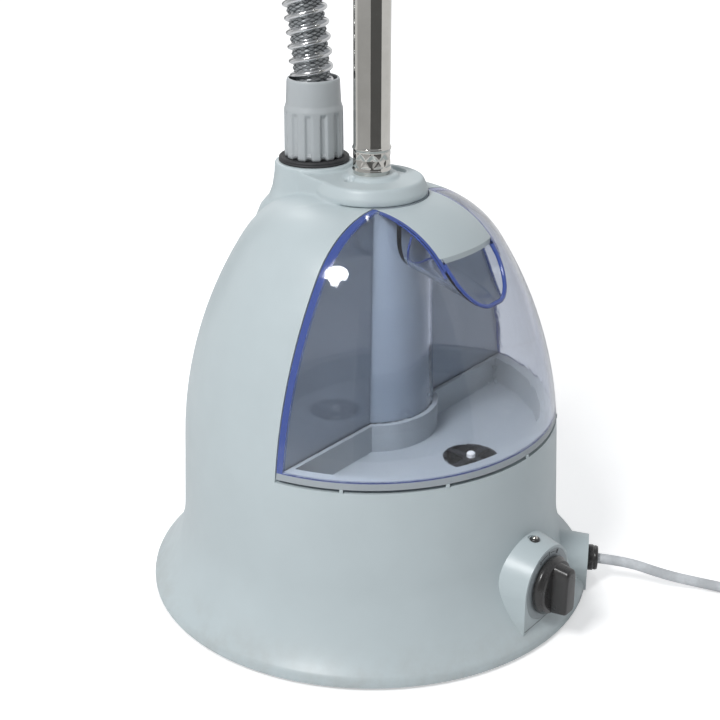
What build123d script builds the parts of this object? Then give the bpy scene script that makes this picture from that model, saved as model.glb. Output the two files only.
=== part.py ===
from build123d import *
import os
from math import acos, atan2, cos, degrees, pi, radians, sin, sqrt, tan

# Upright steamer: bell-shaped base with a clear water tank, telescopic pole,
# steam hose and steam head. Millimetres, +Z up, origin on the floor under the pole.
# The tank, its handle and the control knob face -Y; the hose port is on +Y.

os.makedirs("parts", exist_ok=True)

# ---------------------------------------------------------------- driving sizes
# bell housing
skirt_radius = 162.5
bell_radius = 135.0
dome_arc = 290.0
dome_centre_z = 105.0
shoulder_arc = 68.0
shoulder_angle = 32.3
wall_draft = 2.7
wall_foot_z = 61.0
skirt_arc = 78.0
skirt_lip = 8.0
shell_wall = 3.0
foot_height = 2.0
pan_thickness = 3.0
part_gap = 0.4

# tank bay and tank
bay_y = 24.0
ledge_z = 131.0
slot_gap = 2.5
tray_ring = 4.5
tray_depth = 20.0
tray_wall = 2.5
tank_wall = 2.6
tank_gap = 1.0
bay_radius = 125.5
column_foot_radius = 41.6
column_top_radius = 38.6
column_clearance = 0.8
pocket_half_width = 27.5
pocket_round = 22.0
pocket_back_y = 47.0
pocket_back_z = 252.0
pocket_mouth_y = 104.0
pocket_mouth_z = 235.5
handle_half_width = 29.5
handle_front_y = 83.5
handle_thickness = 2.5

# valve in the tray floor
valve_y = 88.0
neck_bore = 17.5
neck_wall = 2.5
stem_radius = 3.0
run_clearance = 0.08
valve_travel = 4.0

# pole
tube_radius = 12.5
tube_wall = 0.9
upper_radius = 10.5
pole_foot_z = 236.0
lower_top_z = 920.0
upper_foot_z = 800.0
upper_top_z = 1460.0

# hose port and hose
port_y = 51.0
port_top_z = 306.0
port_radius = 27.3
gasket_height = 5.0
spigot_radius = 16.3
nut_radius = 20.6
nut_fluted = 32.0
nut_collar = 23.0
hose_radius = 15.3
hose_core_radius = 11.8

# control pod, cable pod, cord
dial_y = 155.0
dial_z = 41.0
pod_half_width = 28.0
pod_flare = 0.22
knob_radius = 21.0
cable_angle = -61.0
cable_z = 20.0
gland_radius = 9.5
cord_diameter = 7.5

# steam head
head_y = 62.0
cuff_foot_z = 1140.0
handle_foot_z = 1184.0
neck_z = 1366.0
head_height = 92.0
head_half_width = 64.0


def save(builder, name):
    builder.part.label = name
    export_step(builder.part, f"parts/{name}.step")


def turned(angle, distance):
    return (distance * cos(radians(angle)), distance * sin(radians(angle)))


def lathe(points, centre=(0, 0)):
    # Solid turned about an upright axis at centre, from (radius, height) points.
    with BuildPart() as body:
        with BuildSketch(Plane(origin=(*centre, 0), x_dir=(1, 0, 0), z_dir=(0, -1, 0))):
            with BuildLine():
                Polyline(*points, close=True)
            make_face()
        revolve(axis=Axis((*centre, 0), (0, 0, 1)))
    return body.part


def soft_line(points):
    # Bending radius at each inner corner of a run of straight lengths, for a smooth cord.
    radii = []
    for before, corner, after in zip(points, points[1:], points[2:]):
        run_in = Vector(*corner) - Vector(*before)
        run_out = Vector(*after) - Vector(*corner)
        turn = radians(run_in.get_angle(run_out))
        radii.append(0.45 * min(run_in.length, run_out.length) / tan(turn / 2))
    return radii


# ---------------------------------------------------------------- bell section
draft = radians(wall_draft)
shoulder = radians(shoulder_angle)
dome_centre = (bell_radius - dome_arc, dome_centre_z)
shoulder_centre = (
    dome_centre[0] + (dome_arc - shoulder_arc) * cos(shoulder),
    dome_centre[1] + (dome_arc - shoulder_arc) * sin(shoulder),
)
dome_top_z = shoulder_centre[1] + shoulder_arc
wall_top_z = dome_centre_z + dome_arc * sin(draft)
wall_length = (wall_top_z - wall_foot_z) / cos(draft)
wall_foot_radius = dome_centre[0] + dome_arc * cos(draft) + wall_length * sin(draft)
flare_centre = (
    wall_foot_radius + skirt_arc * cos(draft),
    wall_foot_z + skirt_arc * sin(draft),
)
flare_turn = acos((flare_centre[0] - skirt_radius + skirt_lip) / (skirt_arc + skirt_lip))
lip_centre = (
    skirt_radius - skirt_lip,
    flare_centre[1] - (skirt_arc + skirt_lip) * sin(flare_turn),
)


def bell_section(inset, bottom_z):
    # Half section of the bell, moved inwards by inset: lip, flare, wall, dome and shoulder.
    flare = degrees(flare_turn)
    with BuildSketch(Plane.XZ) as section:
        with BuildLine():
            lip = CenterArc(lip_centre, skirt_lip - inset, 0, flare)
            CenterArc(flare_centre, skirt_arc + inset, 180 + flare, wall_draft - flare)
            dome = CenterArc(dome_centre, dome_arc - inset, wall_draft, shoulder_angle - wall_draft)
            wall_foot = (
                flare_centre[0] - (skirt_arc + inset) * cos(draft),
                flare_centre[1] - (skirt_arc + inset) * sin(draft),
            )
            Line(wall_foot, dome @ 0)
            top = CenterArc(shoulder_centre, shoulder_arc - inset, shoulder_angle, 90 - shoulder_angle)
            Polyline(
                top @ 1,
                (0, dome_top_z - inset),
                (0, bottom_z),
                (skirt_radius - inset, bottom_z),
                lip @ 0,
            )
        make_face()
    return section.sketch


def bell_solid(inset, bottom_z):
    with BuildPart() as bell:
        add(bell_section(inset, bottom_z))
        revolve(axis=Axis.Z)
    return bell.part


def bell_height(radius):
    # Height of the outer dome at a distance from the axis.
    if radius < shoulder_centre[0]:
        return dome_top_z
    if radius < shoulder_centre[0] + shoulder_arc * cos(shoulder):
        return shoulder_centre[1] + sqrt(shoulder_arc**2 - (radius - shoulder_centre[0]) ** 2)
    return dome_centre_z + sqrt(dome_arc**2 - (radius - dome_centre[0]) ** 2)


def block(low, high):
    # Plain box between two corners, for trimming.
    with BuildPart(Plane.XY.offset(low[2])) as box:
        with Locations(((low[0] + high[0]) / 2, (low[1] + high[1]) / 2)):
            Box(
                high[0] - low[0],
                high[1] - low[1],
                high[2] - low[2],
                align=(Align.CENTER, Align.CENTER, Align.MIN),
            )
    return box.part


def column_cone(foot_radius, top_radius, low_z, high_z):
    # Drafted round column about the pole, radii given at the ledge and at the dome's top.
    slope = (top_radius - foot_radius) / (dome_top_z - ledge_z)
    low_radius = foot_radius + slope * (low_z - ledge_z)
    high_radius = foot_radius + slope * (high_z - ledge_z)
    with BuildPart() as cone:
        with BuildSketch(Plane.XY.offset(low_z)):
            Circle(low_radius)
        with BuildSketch(Plane.XY.offset(high_z)):
            Circle(high_radius)
        loft()
    return cone.part


front_reach = skirt_radius + 40
ring_low_z = ledge_z + slot_gap
seam_z = ring_low_z + tray_ring
tray_floor_z = seam_z - tray_depth
deck_z = tray_floor_z - tray_wall - tank_gap - 1.5
tank_back_y = bay_y + tank_gap

# ---------------------------------------------------------------- housing shell
boss_radius = 5.0
boss_circle = wall_foot_radius - shell_wall - boss_radius + 1.5
boss_count = 4
boss_turn = -30
boss_top_z = wall_foot_z + 20
lamp_y = 143.0
pod_top_z = dial_z + pod_half_width + pod_flare * (dial_y - lamp_y)
cable_pod_half = 17.0
cable_pod_face = skirt_radius + 0.5
cable_plane = Plane(
    origin=(*turned(cable_angle, cable_pod_face), cable_z),
    x_dir=(-sin(radians(cable_angle)), cos(radians(cable_angle)), 0),
    z_dir=(cos(radians(cable_angle)), sin(radians(cable_angle)), 0),
)
dial_plane = Plane(origin=(0, -dial_y, dial_z), x_dir=(1, 0, 0), z_dir=(0, -1, 0))
lamp_radius = 3.0
switch_depth = 24.0


def pod_solid(plane, half_width, drop, depth, flare):
    # Arch-topped pod whose flat face lies on the plane; it widens as it runs back into the bell.
    with BuildPart() as pod:
        for back in (0, depth):
            half = half_width + flare * back
            with BuildSketch(plane.offset(-back)):
                with BuildLine():
                    arch = CenterArc((0, 0), half, 0, 180)
                    Polyline(arch @ 1, (-half, -drop), (half, -drop), arch @ 0)
                make_face()
        loft()
    return pod.part


bell_outside = bell_solid(0, foot_height)
bell_inside = bell_solid(shell_wall, foot_height - 10)
bay_block = block((-front_reach, -front_reach, ledge_z), (front_reach, -bay_y, dome_top_z + 60))
ledge_lip = 3.0
seat_flange = 3.0

with BuildPart() as housing_shell:
    add(bell_outside)
    add(pod_solid(dial_plane, pod_half_width, dial_z - foot_height, 40, pod_flare))
    add(pod_solid(cable_plane, cable_pod_half, cable_z - foot_height, 26, 0.1))
    add(bell_inside, mode=Mode.SUBTRACT)
    add(
        pod_solid(dial_plane.offset(-shell_wall), pod_half_width - shell_wall, dial_z, 38, pod_flare),
        mode=Mode.SUBTRACT,
    )
    add(
        pod_solid(cable_plane.offset(-shell_wall), cable_pod_half - shell_wall, cable_z, 26, 0.1),
        mode=Mode.SUBTRACT,
    )
    add(bay_block, mode=Mode.SUBTRACT)
    # Lip that carries the tank seat.
    with BuildSketch(Plane.XY.offset(ledge_z - seat_flange - ledge_lip)):
        Circle(bell_radius - shell_wall / 2)
        Circle(bay_radius + 2 * tray_wall - 1.6, mode=Mode.SUBTRACT)
        with Locations((0, front_reach - bay_y - 3)):
            Rectangle(2 * front_reach, 2 * front_reach, mode=Mode.SUBTRACT)
    extrude(amount=ledge_lip)
    # Nibs that hold the tank's ring off the ledge.
    with BuildSketch(Plane.XY.offset(ledge_z)):
        with PolarLocations(bell_radius - shell_wall / 2 - 0.4, 5, -150, 120, endpoint=True):
            Rectangle(shell_wall - 0.8, 2.2)
    extrude(amount=slot_gap)
    # Screw bosses for the base pan.
    with BuildSketch(Plane.XY.offset(foot_height + pan_thickness)):
        with PolarLocations(boss_circle, boss_count, boss_turn):
            Circle(boss_radius)
    extrude(amount=boss_top_z - foot_height - pan_thickness)
    with BuildSketch(Plane.XY.offset(foot_height + pan_thickness)):
        with PolarLocations(boss_circle, boss_count, boss_turn):
            Circle(1.5)
    extrude(amount=14, mode=Mode.SUBTRACT)
    # Holes in the top for the pole and the hose spigot.
    with BuildSketch(Plane.XY.offset(dome_top_z - 60)):
        Circle(tube_radius + part_gap)
        with Locations((0, port_y)):
            Circle(spigot_radius + part_gap)
    extrude(amount=80, mode=Mode.SUBTRACT)
    # Lamp hole in the roof of the control pod.
    with BuildSketch(Plane.XY.offset(pod_top_z - 8)):
        with Locations((0, -lamp_y)):
            Circle(lamp_radius)
    extrude(amount=12, mode=Mode.SUBTRACT)
    with BuildSketch(Plane.XY.offset(pod_top_z)):
        with Locations((0, -lamp_y)):
            Circle(4.8)
    extrude(amount=6, mode=Mode.SUBTRACT)
    # Recess for the dial plate, and the hole behind it.
    with BuildSketch(dial_plane):
        Circle(knob_radius + 5)
    extrude(amount=-1.2, mode=Mode.SUBTRACT)
    with BuildSketch(dial_plane):
        Circle(knob_radius - 6)
    extrude(amount=-2 * shell_wall, mode=Mode.SUBTRACT)
    # Hole for the cable gland.
    with BuildSketch(cable_plane):
        Circle(gland_radius - 3)
    extrude(amount=-2 * shell_wall, mode=Mode.SUBTRACT)
save(housing_shell, "housing_shell")

# ---------------------------------------------------------------- tank seat, with bulkhead and column
seat_ring_wall = 3.0
well_radius = 26.0
well_depth = 21.0
well_floor_z = deck_z - well_depth
seat_inset = shell_wall + part_gap

with BuildPart() as tank_seat:
    # Bulkhead across the bell.
    add(bell_solid(seat_inset, foot_height - 10))
    add(
        block((-front_reach, -bay_y, 0), (front_reach, -bay_y + shell_wall, dome_top_z + 9)),
        mode=Mode.INTERSECT,
    )
    add(
        block((-front_reach, -front_reach, 0), (front_reach, front_reach, deck_z - shell_wall)),
        mode=Mode.SUBTRACT,
    )
    # Round column that hides the pole socket.
    add(column_cone(column_foot_radius, column_top_radius, deck_z - shell_wall, dome_top_z))
    add(
        column_cone(
            column_foot_radius - shell_wall,
            column_top_radius - shell_wall,
            deck_z - 2 * shell_wall,
            dome_top_z - shell_wall,
        ),
        mode=Mode.SUBTRACT,
    )
    add(
        block((-60, -bay_y + shell_wall, 0), (60, front_reach, dome_top_z + 9)),
        mode=Mode.SUBTRACT,
    )
    # Deck, ring wall and flange of the bay.
    with BuildSketch(Plane.XY.offset(deck_z - shell_wall)):
        Circle(bay_radius + seat_ring_wall)
        with Locations((0, front_reach - bay_y + shell_wall)):
            Rectangle(2 * front_reach, 2 * front_reach, mode=Mode.SUBTRACT)
        Circle(column_foot_radius - shell_wall, mode=Mode.SUBTRACT)
        with Locations((0, -valve_y)):
            Circle(well_radius, mode=Mode.SUBTRACT)
    extrude(amount=shell_wall)
    with BuildSketch(Plane.XY.offset(deck_z)):
        Circle(bay_radius + seat_ring_wall)
        Circle(bay_radius, mode=Mode.SUBTRACT)
        with Locations((0, front_reach - bay_y)):
            Rectangle(2 * front_reach, 2 * front_reach, mode=Mode.SUBTRACT)
    extrude(amount=ledge_z - deck_z)
    with BuildSketch(Plane.XY.offset(ledge_z - seat_flange)):
        Circle(bell_radius - shell_wall - part_gap - 1.2)
        Circle(bay_radius, mode=Mode.SUBTRACT)
        with Locations((0, front_reach - bay_y)):
            Rectangle(2 * front_reach, 2 * front_reach, mode=Mode.SUBTRACT)
    extrude(amount=seat_flange)
    # Valve well, with its outlet in the floor.
    with BuildSketch(Plane.XY.offset(well_floor_z - shell_wall)):
        with Locations((0, -valve_y)):
            Circle(well_radius + shell_wall)
    extrude(amount=deck_z - well_floor_z)
    with BuildSketch(Plane.XY.offset(well_floor_z)):
        with Locations((0, -valve_y)):
            Circle(well_radius)
    extrude(amount=deck_z, mode=Mode.SUBTRACT)
    outlet_x = 15.0
    with BuildSketch(Plane.XY.offset(well_floor_z - shell_wall - 12)):
        with Locations((outlet_x, -valve_y)):
            Circle(3.4)
    extrude(amount=12)
    with BuildSketch(Plane.XY.offset(well_floor_z - shell_wall - 12)):
        with Locations((outlet_x, -valve_y)):
            Circle(2.2)
    extrude(amount=30, mode=Mode.SUBTRACT)
    # Step under the edge of the dome's top, and the pole's hole in the column's lid.
    add(
        block(
            (-60, -bay_y - part_gap, dome_top_z - shell_wall - 1.6),
            (60, front_reach, dome_top_z + 9),
        ),
        mode=Mode.SUBTRACT,
    )
    with BuildSketch(Plane.XY.offset(dome_top_z - 30)):
        Circle(tube_radius + part_gap)
    extrude(amount=60, mode=Mode.SUBTRACT)
save(tank_seat, "tank_seat")

# ---------------------------------------------------------------- top cap
cap_radius = 38.0
cap_crown_radius = 35.0
cap_flange_z = dome_top_z + 4.4
cap_top_z = dome_top_z + 11.4
pad_radius = 41.0
pad_top_z = 281.0
port = (0, port_y)
counterbore = 20.0
counterbore_z = port_top_z - 3.0

with BuildPart() as top_cap:
    with BuildSketch(Plane.XY.offset(dome_top_z - 12)):
        Circle(cap_radius)
        with Locations((0, port_y / 2)):
            Rectangle(2 * cap_radius, port_y)
        with Locations(port):
            Circle(cap_radius)
    extrude(amount=cap_flange_z - dome_top_z + 12)
    with BuildSketch(Plane.XY.offset(cap_flange_z)):
        Circle(cap_radius - 0.8)
    with BuildSketch(Plane.XY.offset(cap_top_z)):
        Circle(cap_crown_radius - 0.8)
    loft()
    # Pad and boss of the hose port.
    add(
        lathe(
            [
                (0, dome_top_z - 70),
                (pad_radius, dome_top_z - 70),
                (pad_radius, pad_top_z - 9),
                (pad_radius - 2.6, pad_top_z - 3),
                (port_radius + 7, pad_top_z),
                (port_radius + 2.4, pad_top_z + 2),
                (port_radius + 1, pad_top_z + 6),
                (port_radius, port_top_z - 1.2),
                (port_radius - 1.2, port_top_z),
                (0, port_top_z),
            ],
            port,
        )
    )
    # Raised lip round the foot of the pole.
    with BuildSketch(Plane.XY.offset(cap_top_z)):
        Circle(tube_radius + 5)
    extrude(amount=2.5, taper=20)
    add(bell_outside, mode=Mode.SUBTRACT)
    add(
        block((-front_reach, -front_reach, 0), (front_reach, part_gap - bay_y, dome_top_z)),
        mode=Mode.SUBTRACT,
    )
    with BuildSketch(Plane.XY.offset(dome_top_z - 60)):
        Circle(tube_radius + part_gap)
        with Locations(port):
            Circle(spigot_radius + part_gap)
    extrude(amount=120, mode=Mode.SUBTRACT)
    with BuildSketch(Plane.XY.offset(counterbore_z)):
        with Locations(port):
            Circle(counterbore)
    extrude(amount=20, mode=Mode.SUBTRACT)
    # Screw recesses either side of the pole.
    cap_screw_x = 24.0
    with BuildSketch(Plane.XY.offset(dome_top_z + 3)):
        with Locations((-cap_screw_x, 3), (cap_screw_x, 3)):
            Circle(3.6)
    extrude(amount=20, mode=Mode.SUBTRACT)
    with BuildSketch(Plane.XY.offset(dome_top_z - 20)):
        with Locations((-cap_screw_x, 3), (cap_screw_x, 3)):
            Circle(1.9)
    extrude(amount=40, mode=Mode.SUBTRACT)
save(top_cap, "top_cap")

with BuildPart() as cap_screws:
    with BuildSketch(Plane.XY.offset(dome_top_z + 3)):
        with Locations((-cap_screw_x, 3), (cap_screw_x, 3)):
            Circle(3.3)
    extrude(amount=2.4)
    with BuildSketch(Plane.XY.offset(dome_top_z + 4.2)):
        with Locations((-cap_screw_x, 3), (cap_screw_x, 3)):
            Rectangle(4.0, 0.9)
            Rectangle(0.9, 4.0)
    extrude(amount=2, mode=Mode.SUBTRACT)
    with BuildSketch(Plane.XY.offset(dome_top_z + 3)):
        with Locations((-cap_screw_x, 3), (cap_screw_x, 3)):
            Circle(1.7)
    extrude(amount=-3)
save(cap_screws, "cap_screws")

# ---------------------------------------------------------------- base pan, feet and screws
pan_radius = skirt_radius - shell_wall - part_gap
pan_top_z = foot_height + pan_thickness
screw_radius = 1.5
screw_head = 3.2
feet_circle = 118.0

with BuildPart() as base_pan:
    with BuildSketch(Plane.XY.offset(foot_height)):
        Circle(pan_radius)
        with PolarLocations(feet_circle - 60, 8, 0):
            SlotOverall(22, 4, mode=Mode.SUBTRACT)
        with PolarLocations(boss_circle, boss_count, boss_turn):
            Circle(screw_radius + 0.2, mode=Mode.SUBTRACT)
    extrude(amount=pan_thickness)
    with BuildSketch(Plane.XY.offset(foot_height)):
        with PolarLocations(boss_circle, boss_count, boss_turn):
            Circle(screw_head + 0.3)
    extrude(amount=1.6, mode=Mode.SUBTRACT)
save(base_pan, "base_pan")

with BuildPart() as base_screws:
    with BuildSketch(Plane.XY.offset(foot_height + 0.2)):
        with PolarLocations(boss_circle, boss_count, boss_turn):
            Circle(screw_head)
    extrude(amount=1.4)
    with BuildSketch(Plane.XY.offset(foot_height + 1.6)):
        with PolarLocations(boss_circle, boss_count, boss_turn):
            Circle(screw_radius - run_clearance)
    extrude(amount=14)
save(base_screws, "base_screws")

with BuildPart() as rubber_feet:
    with BuildSketch():
        with PolarLocations(feet_circle, 4, 45):
            Circle(12)
    extrude(amount=foot_height)
save(rubber_feet, "rubber_feet")

# ---------------------------------------------------------------- valve well fittings
well_centre = (0, -valve_y)
stem_foot_z = well_floor_z + 7.0
cap_floor_z = stem_foot_z + 2.0
cap_floor = 3.0
seal_height = 1.5
neck_foot_z = cap_floor_z + cap_floor + seal_height
neck_radius = neck_bore + neck_wall

inlet_pin = BuildPart()
with inlet_pin:
    add(
        lathe(
            [
                (0, well_floor_z),
                (7, well_floor_z),
                (7, well_floor_z + 2),
                (2.4, well_floor_z + 2),
                (2.4, stem_foot_z - 1.2),
                (1.6, stem_foot_z - 0.4),
                (0, stem_foot_z - 0.4),
            ],
            well_centre,
        )
    )
save(inlet_pin, "inlet_pin")

gasket_inner = well_radius - 2.4
with BuildPart() as well_gasket:
    add(
        lathe(
            [
                (gasket_inner, deck_z - 7),
                (well_radius, deck_z - 7),
                (well_radius, deck_z),
                (gasket_inner + 1.4, deck_z),
                (gasket_inner + 1.4, deck_z - 4),
                (gasket_inner, deck_z - 4),
            ],
            well_centre,
        )
    )
save(well_gasket, "well_gasket")

# ---------------------------------------------------------------- heater and its pipes
heater_z = 40.0
heater_height = 26.0
heater_top_z = heater_z + heater_height
heater_length = 100.0
heater_depth = 56.0
heater_front_y = port_y - 6 - heater_depth / 2
element_radius = 3.5
pipe_wall = 1.5
feed_radius = 3.4
steam_radius = 6.0
feed_z = heater_z + heater_height / 2
steam_pipe_top_z = dome_top_z - 30

with BuildPart() as heating_element:
    with BuildLine() as element_line:
        FilletPolyline(
            (64, heater_front_y + 9, heater_top_z),
            (-38, heater_front_y + 9, heater_top_z),
            (-38, heater_front_y + heater_depth - 7, heater_top_z),
            (64, heater_front_y + heater_depth - 7, heater_top_z),
            radius=12,
        )
    with BuildSketch(Plane(origin=element_line.line @ 0, z_dir=element_line.line % 0)):
        Circle(element_radius)
    sweep()
save(heating_element, "heating_element")

with BuildPart() as heater_body:
    with BuildSketch(Plane.XY.offset(heater_z)):
        with Locations((0, heater_front_y + heater_depth / 2)):
            RectangleRounded(heater_length, heater_depth, 8)
    extrude(amount=heater_height)
    with BuildSketch(Plane.XY.offset(heater_top_z)):
        with Locations(port):
            Circle(steam_radius)
    extrude(amount=14)
    with BuildSketch(Plane(origin=(15, heater_front_y, feed_z), x_dir=(1, 0, 0), z_dir=(0, -1, 0))):
        Circle(feed_radius)
    extrude(amount=12)
    add(heating_element.part, mode=Mode.SUBTRACT)
    with BuildSketch(Plane.XY.offset(feed_z - 6)):
        with Locations(port):
            Circle(steam_radius - 1.5)
    extrude(amount=60, mode=Mode.SUBTRACT)
    with BuildSketch(Plane(origin=(15, heater_front_y - 12, feed_z), x_dir=(1, 0, 0), z_dir=(0, 1, 0))):
        Circle(feed_radius - 1.2)
    extrude(amount=30, mode=Mode.SUBTRACT)
save(heater_body, "heater_body")

with BuildPart() as heater_bracket:
    with BuildSketch(Plane.XY.offset(heater_z - 2)):
        with Locations((0, heater_front_y + heater_depth / 2)):
            Rectangle(heater_length + 24, 30)
    extrude(amount=2)
    with BuildSketch(Plane.XY.offset(pan_top_z)):
        with Locations((0, heater_front_y + heater_depth / 2)):
            with GridLocations(heater_length + 22, 30, 2, 1):
                Rectangle(2, 30)
    extrude(amount=heater_z - pan_top_z - 2)
    with BuildSketch(Plane.XY.offset(pan_top_z)):
        with Locations((0, heater_front_y + heater_depth / 2)):
            with GridLocations(heater_length + 10, 30, 2, 1):
                Rectangle(14, 30)
    extrude(amount=2)
save(heater_bracket, "heater_bracket")

with BuildPart() as thermostat:
    with BuildSketch(Plane.XY.offset(heater_top_z)):
        with Locations((28, port_y - 6)):
            Circle(11)
    extrude(amount=2)
    with BuildSketch(Plane.XY.offset(heater_top_z + 2)):
        with Locations((28, port_y - 6)):
            Circle(8.5)
    extrude(amount=8)
    with BuildSketch(Plane.XY.offset(heater_top_z + 10)):
        with Locations((24, port_y - 6), (32, port_y - 6)):
            Rectangle(1, 5)
    extrude(amount=8)
save(thermostat, "thermostat")

with BuildPart() as thermal_fuse:
    with BuildSketch(Plane.XY.offset(heater_top_z)):
        with Locations((-22, port_y - 6)):
            Rectangle(16, 9)
    extrude(amount=5)
save(thermal_fuse, "thermal_fuse")

with BuildPart() as feed_tube:
    with BuildLine() as feed_line:
        FilletPolyline(
            (outlet_x, -valve_y, well_floor_z - shell_wall - 1),
            (outlet_x, -valve_y, feed_z),
            (15, heater_front_y, feed_z),
            radius=18,
        )
    with BuildSketch(Plane(origin=feed_line.line @ 0, z_dir=feed_line.line % 0)):
        Circle(feed_radius + pipe_wall)
        Circle(feed_radius, mode=Mode.SUBTRACT)
    sweep()
save(feed_tube, "feed_tube")

with BuildPart() as steam_tube:
    with BuildSketch(Plane.XY.offset(heater_top_z)):
        with Locations(port):
            Circle(steam_radius + 2)
            Circle(steam_radius, mode=Mode.SUBTRACT)
    extrude(amount=steam_pipe_top_z - heater_top_z)
save(steam_tube, "steam_tube")

# ---------------------------------------------------------------- hose port, nut and hose
spigot_top_z = port_top_z + 22
port_gasket_z = port_top_z + 3.0
nut_top_z = port_gasket_z + nut_fluted + nut_collar
bore_radius = spigot_radius + run_clearance

with BuildPart() as steam_outlet:
    add(
        lathe(
            [
                (steam_radius - 1.5, steam_pipe_top_z - 14),
                (steam_radius, steam_pipe_top_z - 14),
                (steam_radius, steam_pipe_top_z),
                (spigot_radius, steam_pipe_top_z),
                (spigot_radius, counterbore_z),
                (counterbore - part_gap, counterbore_z),
                (counterbore - part_gap, port_top_z),
                (spigot_radius, port_top_z),
                (spigot_radius, spigot_top_z),
                (steam_radius - 1.5, spigot_top_z),
            ],
            port,
        )
    )
save(steam_outlet, "steam_outlet")

with BuildPart() as port_gasket:
    add(
        lathe(
            [
                (bore_radius, port_top_z),
                (24.9, port_top_z),
                (24.9, port_gasket_z),
                (bore_radius, port_gasket_z),
            ],
            port,
        )
    )
save(port_gasket, "port_gasket")

flute_count = 12
with BuildPart() as hose_nut:
    add(
        lathe(
            [
                (bore_radius, port_gasket_z),
                (nut_radius - 0.6, port_gasket_z),
                (nut_radius, port_gasket_z + 1),
                (nut_radius, port_gasket_z + nut_fluted),
                (nut_radius - 0.6, port_gasket_z + nut_fluted + 1.6),
                (nut_radius - 2.1, nut_top_z - 1.2),
                (nut_radius - 3.2, nut_top_z),
                (bore_radius, nut_top_z),
            ],
            port,
        )
    )
    with BuildSketch(Plane.XY.offset(port_gasket_z)):
        with Locations(port):
            with PolarLocations(nut_radius + 1.6, flute_count):
                Circle(3.0)
    extrude(amount=nut_fluted - 3, mode=Mode.SUBTRACT)
save(hose_nut, "hose_nut")

hose_end_z = handle_foot_z - 8
hose_points = [
    (0, port_y, spigot_top_z),
    (0, port_y, nut_top_z + 16),
    (0, port_y + 18, nut_top_z + 102),
    (0, port_y + 64, nut_top_z + 232),
    (0, port_y + 128, nut_top_z + 372),
    (0, port_y + 134, nut_top_z + 502),
    (0, port_y + 78, hose_end_z - 178),
    (0, head_y, hose_end_z - 76),
    (0, head_y, hose_end_z),
]
hose_radii = soft_line(hose_points)

with BuildPart() as steam_hose:
    with BuildLine() as hose_line:
        FilletPolyline(*hose_points, radius=hose_radii)
    with BuildSketch(Plane(origin=hose_line.line @ 0, z_dir=hose_line.line % 0)):
        Circle(hose_radius)
        Circle(hose_core_radius - 3, mode=Mode.SUBTRACT)
    sweep()
save(steam_hose, "steam_hose")
hose_section = pi * (hose_radius**2 - (hose_core_radius - 3) ** 2)
print("hose length", round(hose_line.wire().length, 1))
print("hose radii", [round(radius, 1) for radius in hose_radii])
print("hose volume ratio", round(steam_hose.part.volume / (hose_section * hose_line.wire().length), 4))

# ---------------------------------------------------------------- pole
socket_wall = 3.0
socket_bore = tube_radius + 0.05
lower_inner = tube_radius - tube_wall
upper_inner = upper_radius - tube_wall

with BuildPart() as pole_socket:
    add(
        lathe(
            [
                (0, pole_foot_z - socket_wall),
                (socket_bore + socket_wall, pole_foot_z - socket_wall),
                (socket_bore + socket_wall, dome_top_z - 2 * shell_wall),
                (socket_bore + 9, dome_top_z - 2 * shell_wall),
                (socket_bore + 9, dome_top_z - shell_wall),
                (socket_bore, dome_top_z - shell_wall),
                (socket_bore, pole_foot_z),
                (0, pole_foot_z),
            ]
        )
    )
save(pole_socket, "pole_socket")

bead = 0.9
bead_low_z = cap_top_z + 4.0
bead_high_z = bead_low_z + 15
with BuildPart() as pole_lower:
    add(
        lathe(
            [
                (lower_inner, pole_foot_z),
                (tube_radius, pole_foot_z),
                (tube_radius, bead_low_z - 1),
                (tube_radius + bead, bead_low_z),
                (tube_radius, bead_low_z + 1),
                (tube_radius, bead_high_z - 1),
                (tube_radius + bead, bead_high_z),
                (tube_radius, bead_high_z + 1),
                (tube_radius, lower_top_z),
                (lower_inner, lower_top_z),
            ]
        )
    )
save(pole_lower, "pole_lower")

with BuildPart() as pole_upper:
    add(
        lathe(
            [
                (upper_inner, upper_foot_z),
                (upper_radius, upper_foot_z),
                (upper_radius, upper_top_z),
                (upper_inner, upper_top_z),
            ]
        )
    )
save(pole_upper, "pole_upper")

with BuildPart() as pole_guide_bush:
    add(
        lathe(
            [
                (upper_inner, upper_foot_z - 4),
                (lower_inner - run_clearance, upper_foot_z - 4),
                (lower_inner - run_clearance, upper_foot_z + 26),
                (upper_radius, upper_foot_z + 26),
                (upper_radius, upper_foot_z),
                (upper_inner, upper_foot_z),
            ]
        )
    )
save(pole_guide_bush, "pole_guide_bush")

# ---------------------------------------------------------------- pole clamp
collar_radius = 18.5
collar_foot_z = lower_top_z - 35
collar_top_z = lower_top_z + 15
ear_half = 9.0
lever_half = 4.8
pivot_y = collar_radius + 5.5
pivot_z = lower_top_z + 3
pivot_pin = 2.0
pivot_plane = Plane(origin=(0, -pivot_y, pivot_z), x_dir=(0, 1, 0), z_dir=(1, 0, 0))

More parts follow.
